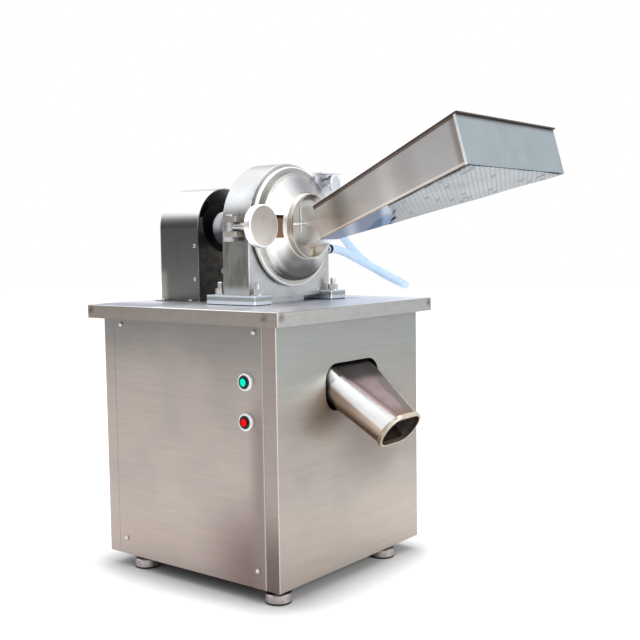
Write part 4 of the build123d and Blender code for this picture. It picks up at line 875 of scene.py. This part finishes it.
def door_steel():
    """Turned casting: a grey flange with a painted highlight on its edge and a painted shadow of the gap
    behind, and painted shade on the cone below.
    """
    # Painted shade on the lower part of the door
    fades = [("Z", MILL_AXIS_Z - 0.050, MILL_AXIS_Z - 0.090, (116, 110, 101))]

    def marks(paint, tone):
        tone = cone_rays(paint, tone)
        for place, radius, core, colour in DOOR_SHADE_PATCHES:
            tone = paint.over(tone, paint.near(door_point(*place), radius, core), colour)
        distance = paint.from_axis(0.0, MILL_AXIS_Z)
        tone = flange_marks(paint, tone, distance)
        tone = collar_marks(paint, tone, distance)
        return lug_marks(paint, tone)

    paint = turned_steel("door_steel", (200, 199, 197), (184, 182, 180), (0.0, MILL_AXIS_Z), 0.33,
                         fades, DOOR_BANDS, marks)
    distance = paint.from_axis(0.0, MILL_AXIS_Z)
    rim = paint.times(paint.span(distance, *DOOR_RIM), 0.4)
    collar = paint.times(collar_ring(paint, distance), 0.35)
    return paint.set("Metallic", paint.rest(paint.most(rim, collar)))


def nut_steel():
    """Turned hand nut, with a painted highlight along its rim."""
    low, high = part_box("hand_nut")
    middle = (low + high) / 2
    # Painted highlight along the rim
    bands = [(0.0385, 0.0400, (252, 250, 248))]
    return turned_steel("nut_steel", (212, 207, 201), (192, 187, 181), (middle.x, middle.z), 0.34,
                        bands=bands)


def tube_steel():
    """The bearing housing: pale ground casting with painted shade, greyer away from its rear end and dark
    on faces that look down.
    """
    paint = plain_metal("tube_steel", (250, 252, 255), (238, 242, 248), 0.40, 40.0)
    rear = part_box("bearing_tube")[1].y
    shade = paint.at("Y", rear - 0.006, rear - 0.030)
    paint.lay(shade, (198, 205, 218))
    # Painted shade on faces that look down
    paint.lay(paint.faces("Z", 0.25, -0.40), (102, 106, 114))
    return paint.set("Metallic", paint.span(shade, 0.0, 1.0, 0.3, 0.85))


def fitting_steel():
    """Chromed hose nipples: dark between their barbs as painted shade."""
    barb_pitch = 0.011
    paint = plain_metal("fitting_steel", (236, 236, 238), (214, 214, 217), 0.18)
    groove = paint.math("PINGPONG", paint.math("DIVIDE", paint.axis("X"), barb_pitch), 0.5)
    return paint.lay(paint.span(groove, 0.10, 0.16), (46, 42, 40))


def foot_steel():
    """Levelling feet: turned steel on a black rubber sole."""
    paint = plain_metal("foot_steel", (196, 188, 185), (170, 162, 160), 0.35)
    sole = paint.at("Z", FOOT_SOLE + FOOT_SOLE_SOFT, FOOT_SOLE - FOOT_SOLE_SOFT)
    paint.lay(sole, (18, 18, 18))
    return paint.set("Metallic", paint.rest(sole))


def hose_plastic():
    """Clear tube: half see-through across, bluer and denser at its edges."""
    paint = Paint("hose_plastic", roughness=0.12)
    edge = paint.tree.nodes.new("ShaderNodeLayerWeight")
    edge.inputs["Blend"].default_value = 0.35
    facing = edge.outputs["Facing"]
    haze = paint.span(paint.noise(paint.place, 40.0), 0.4, 0.8, 0.0, 0.25)
    tint = paint.mix(facing, linear(170, 194, 218), linear(120, 154, 194))
    paint.set("Base Color", paint.over(tint, haze, (214, 228, 242)))
    paint.set("Alpha", paint.span(facing, 0.1, 0.9, 0.52, 0.88, smooth=False))
    return paint.set("IOR", 1.45)


def film_plastic():
    """Thin grey film: smudges, a skewed grid of dark creases, and teal in a few of the grid's cells."""
    paint = Paint("film_plastic", roughness=0.35)
    creases = []
    cell = []
    for across, along, pitch in FILM_CREASES:
        direction = (across, along * TROUGH_FORWARD.y, along * TROUGH_FORWARD.z)
        count = paint.math("DIVIDE", paint.along(direction, TROUGH_START), pitch)
        creases.append(paint.span(paint.math("PINGPONG", count, 0.5), *FILM_CREASE_WIDTH, 1.0, 0.0))
        cell.append(paint.math("FLOOR", count))
    chance = paint.tree.nodes.new("ShaderNodeTexWhiteNoise")
    paint.put(chance.inputs["Vector"], paint.point(*cell))
    teal = paint.span(chance.outputs["Value"], *FILM_TEAL_CHANCE)
    smudge = paint.noise(paint.place, 16.0, detail=3.0, rough=0.6)
    tone = paint.mottle(smudge, 0.35, 0.7, (126, 133, 138), (104, 110, 114))
    reach = paint.along(TROUGH_FORWARD, TROUGH_START)
    tone = paint.over(tone, paint.span(reach, 0.34, 0.14), (82, 87, 91))
    tone = paint.over(tone, paint.most(*creases), (54, 60, 66), 0.8)
    paint.set("Base Color", paint.over(tone, teal, (14, 58, 48), 0.9))
    return paint.set("Normal", paint.bump(smudge, 0.3, 0.002))


def button_plastic(name, cap, colour, glow):
    """A coloured lens with a painted glow, brightest at its core, in a black ring of painted shade at the
    recessed cap's edge, both on the cap's face.
    """
    paint = Paint(name, roughness=0.35)
    low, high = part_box(cap)
    width = high.z - low.z
    offset = paint.vector("SUBTRACT", paint.place, (low + high) / 2).outputs["Vector"]
    across = paint.vector("MULTIPLY", offset, (0.0, 1.0, 1.0)).outputs["Vector"]
    distance = paint.vector("LENGTH", across, (0.0, 0.0, 0.0)).outputs["Value"]
    lens = paint.span(distance, width * LENS_EDGE, width * LENS_FULL)
    tone = paint.mottle(paint.noise(paint.place, 300.0), *SPECK_SPAN, colour, glow)
    # A black ring of painted shade outside the lens, where the cap is recessed
    paint.set("Base Color", paint.mix(lens, linear(8, 8, 8), tone))
    # Painted glow in the lens, brightest at its core
    paint.set("Emission Color", linear(*glow))
    centre = paint.span(distance, width * LENS_EDGE, width * LENS_CORE, 0.60, 1.05)
    paint.set("Emission Strength", paint.times(lens, centre))
    return paint.set("Specular IOR Level", 0.03)


def dress(paint, *names):
    for name in names:
        slots = nodes[name].data.materials
        slots.clear()
        slots.append(paint.material)


def dress_model():
    dress(cabinet_front_steel(), "front_sheet")
    dress(cabinet_side_steel(), "access_panel", "right_panel", "rear_sheet")
    dress(table_steel(), "table_top")
    dress(housing_steel(), "mill_housing", "outlet_duct")
    dress(clevis_steel(), "hinge_clevis")
    dress(bar_steel(), "foot_bars")
    dress(ear_steel(), "latch_ear")
    dress(tube_steel(), "bearing_tube", "bearing_cover")
    dress(guard_steel(), "belt_guard")
    dress(trough_steel(), "feed_trough")
    dress(spout_steel(), "feed_spout")
    dress(chute_steel(), "discharge_chute")
    dress(door_steel(), "mill_door", "stator_disc", "rotor_disc", "ring_sieve")
    dress(nut_steel(), "hand_nut")
    dress(plain_metal("knob_steel", (214, 221, 225), (198, 205, 210), 0.34), "latch_screw")
    dress(plain_metal("bright_steel", (200, 200, 200), (176, 176, 174), 0.22),
          "panel_screws", "guard_screws", "hold_down_bolts", "bearing_bolts", "rotor_nut", "eye_rod",
          "hinge_pin")
    dress(fitting_steel(), "hose_fittings")
    dress(plain_metal("ring_steel", (226, 228, 228), (212, 214, 214), 0.42).set("Metallic", 0.4),
          "button_rings")
    dress(plain_metal("ground_steel", (150, 150, 150), (132, 132, 133), 0.34),
          "main_shaft", "bearing_outer_rings", "bearing_inner_rings", "bearing_balls", "motor_bearings")
    dress(foot_steel(), "levelling_feet")
    dress(plate_steel(), "guard_front_plate", "motor_plate")
    dress(plain_metal("frame_steel", (120, 116, 112), (104, 100, 96), 0.42), "corner_posts", "base_rails")
    dress(plain_metal("pulley_iron", (34, 33, 32), (24, 24, 23), 0.5),
          "mill_pulley", "motor_pulley", "motor_stator", "motor_rotor")
    dress(plain_coat("motor_paint", (84, 96, 108), (70, 80, 92), 0.45),
          "motor_frame", "motor_end_covers", "motor_fan_cowl", "motor_terminal_box")
    dress(plain_coat("black_rubber", (26, 26, 26), (18, 18, 18), 0.7, bump=0.15),
          "bar_pads", "drive_belts", "door_gasket", "shaft_seal")
    dress(plain_coat("dark_plastic", (16, 16, 17), (9, 9, 10), 0.6),
          "button_guides", "contact_blocks", "cable_gland", "motor_fan")
    dress(button_plastic("green_plastic", "start_button_cap", (0, 40, 34), (0, 204, 170)),
          "start_button_cap")
    dress(button_plastic("red_plastic", "stop_button_cap", (40, 0, 0), (205, 8, 4)), "stop_button_cap")


def new_piece(name, mesh, paint, body):
    piece = bpy.data.objects.new(name, mesh)
    scene.collection.objects.link(piece)
    mesh.materials.append(paint.material)
    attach(piece, body)
    return piece


def make_hose():
    curve = bpy.data.curves.new("water_hose", "CURVE")
    curve.dimensions = "3D"
    curve.bevel_depth = HOSE_DIAMETER / 2
    curve.bevel_resolution = HOSE_FACETS
    curve.resolution_u = HOSE_STEPS
    curve.use_fill_caps = True
    spline = curve.splines.new("NURBS")
    spline.points.add(len(HOSE_POINTS) - 1)
    for point, place in zip(spline.points, HOSE_POINTS):
        point.co = (*place, 1.0)
    spline.order_u = HOSE_ORDER
    spline.use_endpoint_u = True
    hose = new_piece("water_hose", curve, hose_plastic(), "root")
    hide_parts("cooling_hose")


def trough_point(along, across, lift):
    """A point of the trough: along its slope, across it and above its underside."""
    return TROUGH_START + TROUGH_FORWARD * along + TROUGH_UPWARD * lift + Vector((across, 0.0, 0.0))


def film_point(row, column):
    """A point of the film: from its wavy, slanted first edge to its end, and rippled below the trough."""
    side = 2 * column / FILM_COLUMNS - 1
    start = FILM_START - FILM_SLANT * side + FILM_WAVE * sin(FILM_WAVE_TURN * side)
    along = start + (FILM_END - start) * row / FILM_ROWS
    half = TROUGH_START_HALF + (TROUGH_END_HALF - TROUGH_START_HALF) * along / TROUGH_LENGTH
    wave = 1 + sin(FILM_RIPPLE_ALONG * along + FILM_RIPPLE_ACROSS * side)
    twist = 0.5 + 0.5 * cos(FILM_RIPPLE_TWIST * along * side)
    return trough_point(along, side * (half - FILM_MARGIN), -FILM_DROP - FILM_RIPPLE * wave * twist)


def make_film():
    grid = bmesh.new()
    rows = []
    for row in range(FILM_ROWS + 1):
        rows.append([grid.verts.new(film_point(row, column)) for column in range(FILM_COLUMNS + 1)])
    for near, far in zip(rows, rows[1:]):
        for a, b, c, d in zip(near, near[1:], far[1:], far):
            grid.faces.new((a, b, c, d)).smooth = True
    mesh = bpy.data.meshes.new("protective_film")
    grid.to_mesh(mesh)
    grid.free()
    film = new_piece("protective_film", mesh, film_plastic(), "door")
    thick = film.modifiers.new("thickness", "SOLIDIFY")
    thick.thickness = FILM_THICKNESS


def make_bead(name, ends, radius, beats, body):
    """A weld bead: a thin rippled tube between two points, tapered at its ends."""
    curve = bpy.data.curves.new(name, "CURVE")
    curve.dimensions = "3D"
    curve.bevel_depth = radius
    curve.bevel_resolution = BEAD_FACETS
    curve.use_fill_caps = True
    spline = curve.splines.new("POLY")
    steps = beats * BEAD_STEPS
    spline.points.add(steps)
    first, last = (Vector(end) for end in ends)
    for i, point in enumerate(spline.points):
        share = i / steps
        beat = 1 - BEAD_SWELL + BEAD_SWELL * cos(2 * pi * beats * share)
        point.co = (*first.lerp(last, share), 1.0)
        point.radius = beat * min(1.0, BEAD_TIP + BEAD_TAPER * share, BEAD_TIP + BEAD_TAPER * (1 - share))
    paint = plain_metal(name + "_steel", (255, 254, 252), (236, 234, 231), 0.36)
    bead = new_piece(name, curve, paint, body)


def make_beads():
    seam = [(SPOUT_LOW.x, SEAM_BEAD_Y, z) for z in SEAM_BEAD_Z]
    make_bead("seam_bead", seam, SEAM_BEAD_RADIUS, SEAM_BEAD_BEATS, "door")
    make_bead("tack_bead", (TACK_BEAD_START, TACK_BEAD_END), TACK_BEAD_RADIUS, TACK_BEAD_BEATS, "door")


def make_camera():
    forward = Vector((sin(CAMERA_YAW) * cos(CAMERA_PITCH), cos(CAMERA_YAW) * cos(CAMERA_PITCH),
                      sin(CAMERA_PITCH)))
    level = Vector((cos(CAMERA_YAW), -sin(CAMERA_YAW), 0.0))
    down = forward.cross(level)
    right = level * cos(CAMERA_ROLL) + down * sin(CAMERA_ROLL)
    up = level * sin(CAMERA_ROLL) - down * cos(CAMERA_ROLL)
    data = bpy.data.cameras.new("camera")
    data.sensor_width = SENSOR_MM
    data.lens = FOCAL_PIXELS / FRAME_PIXELS * SENSOR_MM
    data.clip_end = CAMERA_REACH
    camera = bpy.data.objects.new("camera", data)
    turn = Matrix((right, up, -forward)).transposed()
    camera.matrix_world = Matrix.Translation(CAMERA_PLACE) @ turn.to_4x4()
    scene.collection.objects.link(camera)
    scene.camera = camera


def make_light(name, place, size, power):
    data = bpy.data.lights.new(name, "AREA")
    data.shape = "RECTANGLE"
    data.size, data.size_y = size
    data.energy = power
    light = bpy.data.objects.new(name, data)
    light.location = place
    light.rotation_euler = (LIGHT_TARGET - Vector(place)).to_track_quat("-Z", "Y").to_euler()
    scene.collection.objects.link(light)


def make_world():
    """White to the eye; to the steel, a pale room with a dim left rear side and a bright upper rear."""
    world = bpy.data.worlds.new("studio")
    world.use_nodes = True
    tree = world.node_tree
    tree.nodes.clear()

    def add(kind, *values):
        node = tree.nodes.new(kind)
        for socket, value in zip(node.inputs, values):
            if isinstance(value, bpy.types.NodeSocket):
                tree.links.new(value, socket)
            else:
                socket.default_value = value
        return node

    direction = add("ShaderNodeTexCoord").outputs["Generated"]

    def toward(target, low, high):
        dot = add("ShaderNodeVectorMath", direction, target)
        dot.operation = "DOT_PRODUCT"
        share = add("ShaderNodeMapRange", dot.outputs["Value"], low, high, 0.0, 1.0)
        share.interpolation_type = "SMOOTHSTEP"
        return share.outputs[0]

    def blend(share, first, second):
        return add("ShaderNodeMapRange", share, 0.0, 1.0, first, second).outputs[0]

    low_part = blend(toward((0.0, 0.0, 1.0), *SIDE_TOP_SPAN), 1.0, 0.0)
    side = add("ShaderNodeMath", toward(SIDE_DIRECTION, *SIDE_SPAN), low_part)
    side.operation = "MULTIPLY"
    dimmed = blend(side.outputs[0], WORLD_LEVEL, WORLD_SIDE_LEVEL)
    level = blend(toward(UPPER_DIRECTION, *UPPER_SPAN), dimmed, WORLD_UPPER_LEVEL)
    around = add("ShaderNodeBackground", WORLD_TINT, level)
    seen = add("ShaderNodeBackground", WHITE, 1.0)
    path = add("ShaderNodeLightPath")
    pick = add("ShaderNodeMixShader", path.outputs["Is Camera Ray"], around.outputs[0], seen.outputs[0])
    add("ShaderNodeOutputWorld", pick.outputs[0])
    scene.world = world


def make_floor():
    """A pale floor with a painted shadow: a little greyer under and close around the cabinet."""
    mesh = bpy.data.meshes.new("floor")
    signs = ((-1, -1), (1, -1), (1, 1), (-1, 1))
    mesh.from_pydata([(x * FLOOR_HALF, y * FLOOR_HALF, 0) for x, y in signs], [], [(0, 1, 2, 3)])
    floor = bpy.data.objects.new("floor", mesh)
    scene.collection.objects.link(floor)
    paint = Paint("floor_paint", roughness=0.8)
    beyond = []
    for axis, half_base in (("X", -CABINET_LOW.x), ("Y", -CABINET_LOW.y)):
        outside = paint.math("SUBTRACT", paint.math("ABSOLUTE", paint.axis(axis)), half_base - SHADE_INSET)
        beyond.append(paint.math("POWER", paint.most(outside, 0.0), 2.0))
    away = paint.math("SQRT", paint.math("ADD", *beyond))
    # Painted shadow, greyer close to the cabinet's footprint
    paint.set("Base Color", paint.mottle(away, 0.0, SHADE_REACH, (186, 185, 184), (240, 240, 240)))
    paint.set("Specular IOR Level", 0.1)
    mesh.materials.append(paint.material)


make_camera()
make_hose()
dress_model()
make_film()
make_beads()
make_floor()
make_world()
make_light("top_light", place=(0.5, -0.4, 3.0), size=(3.0, 2.6), power=60.0)
make_light("front_light", place=(0.2, -3.4, 1.5), size=(1.6, 1.6), power=85.0)
scene.view_settings.view_transform = "Standard"
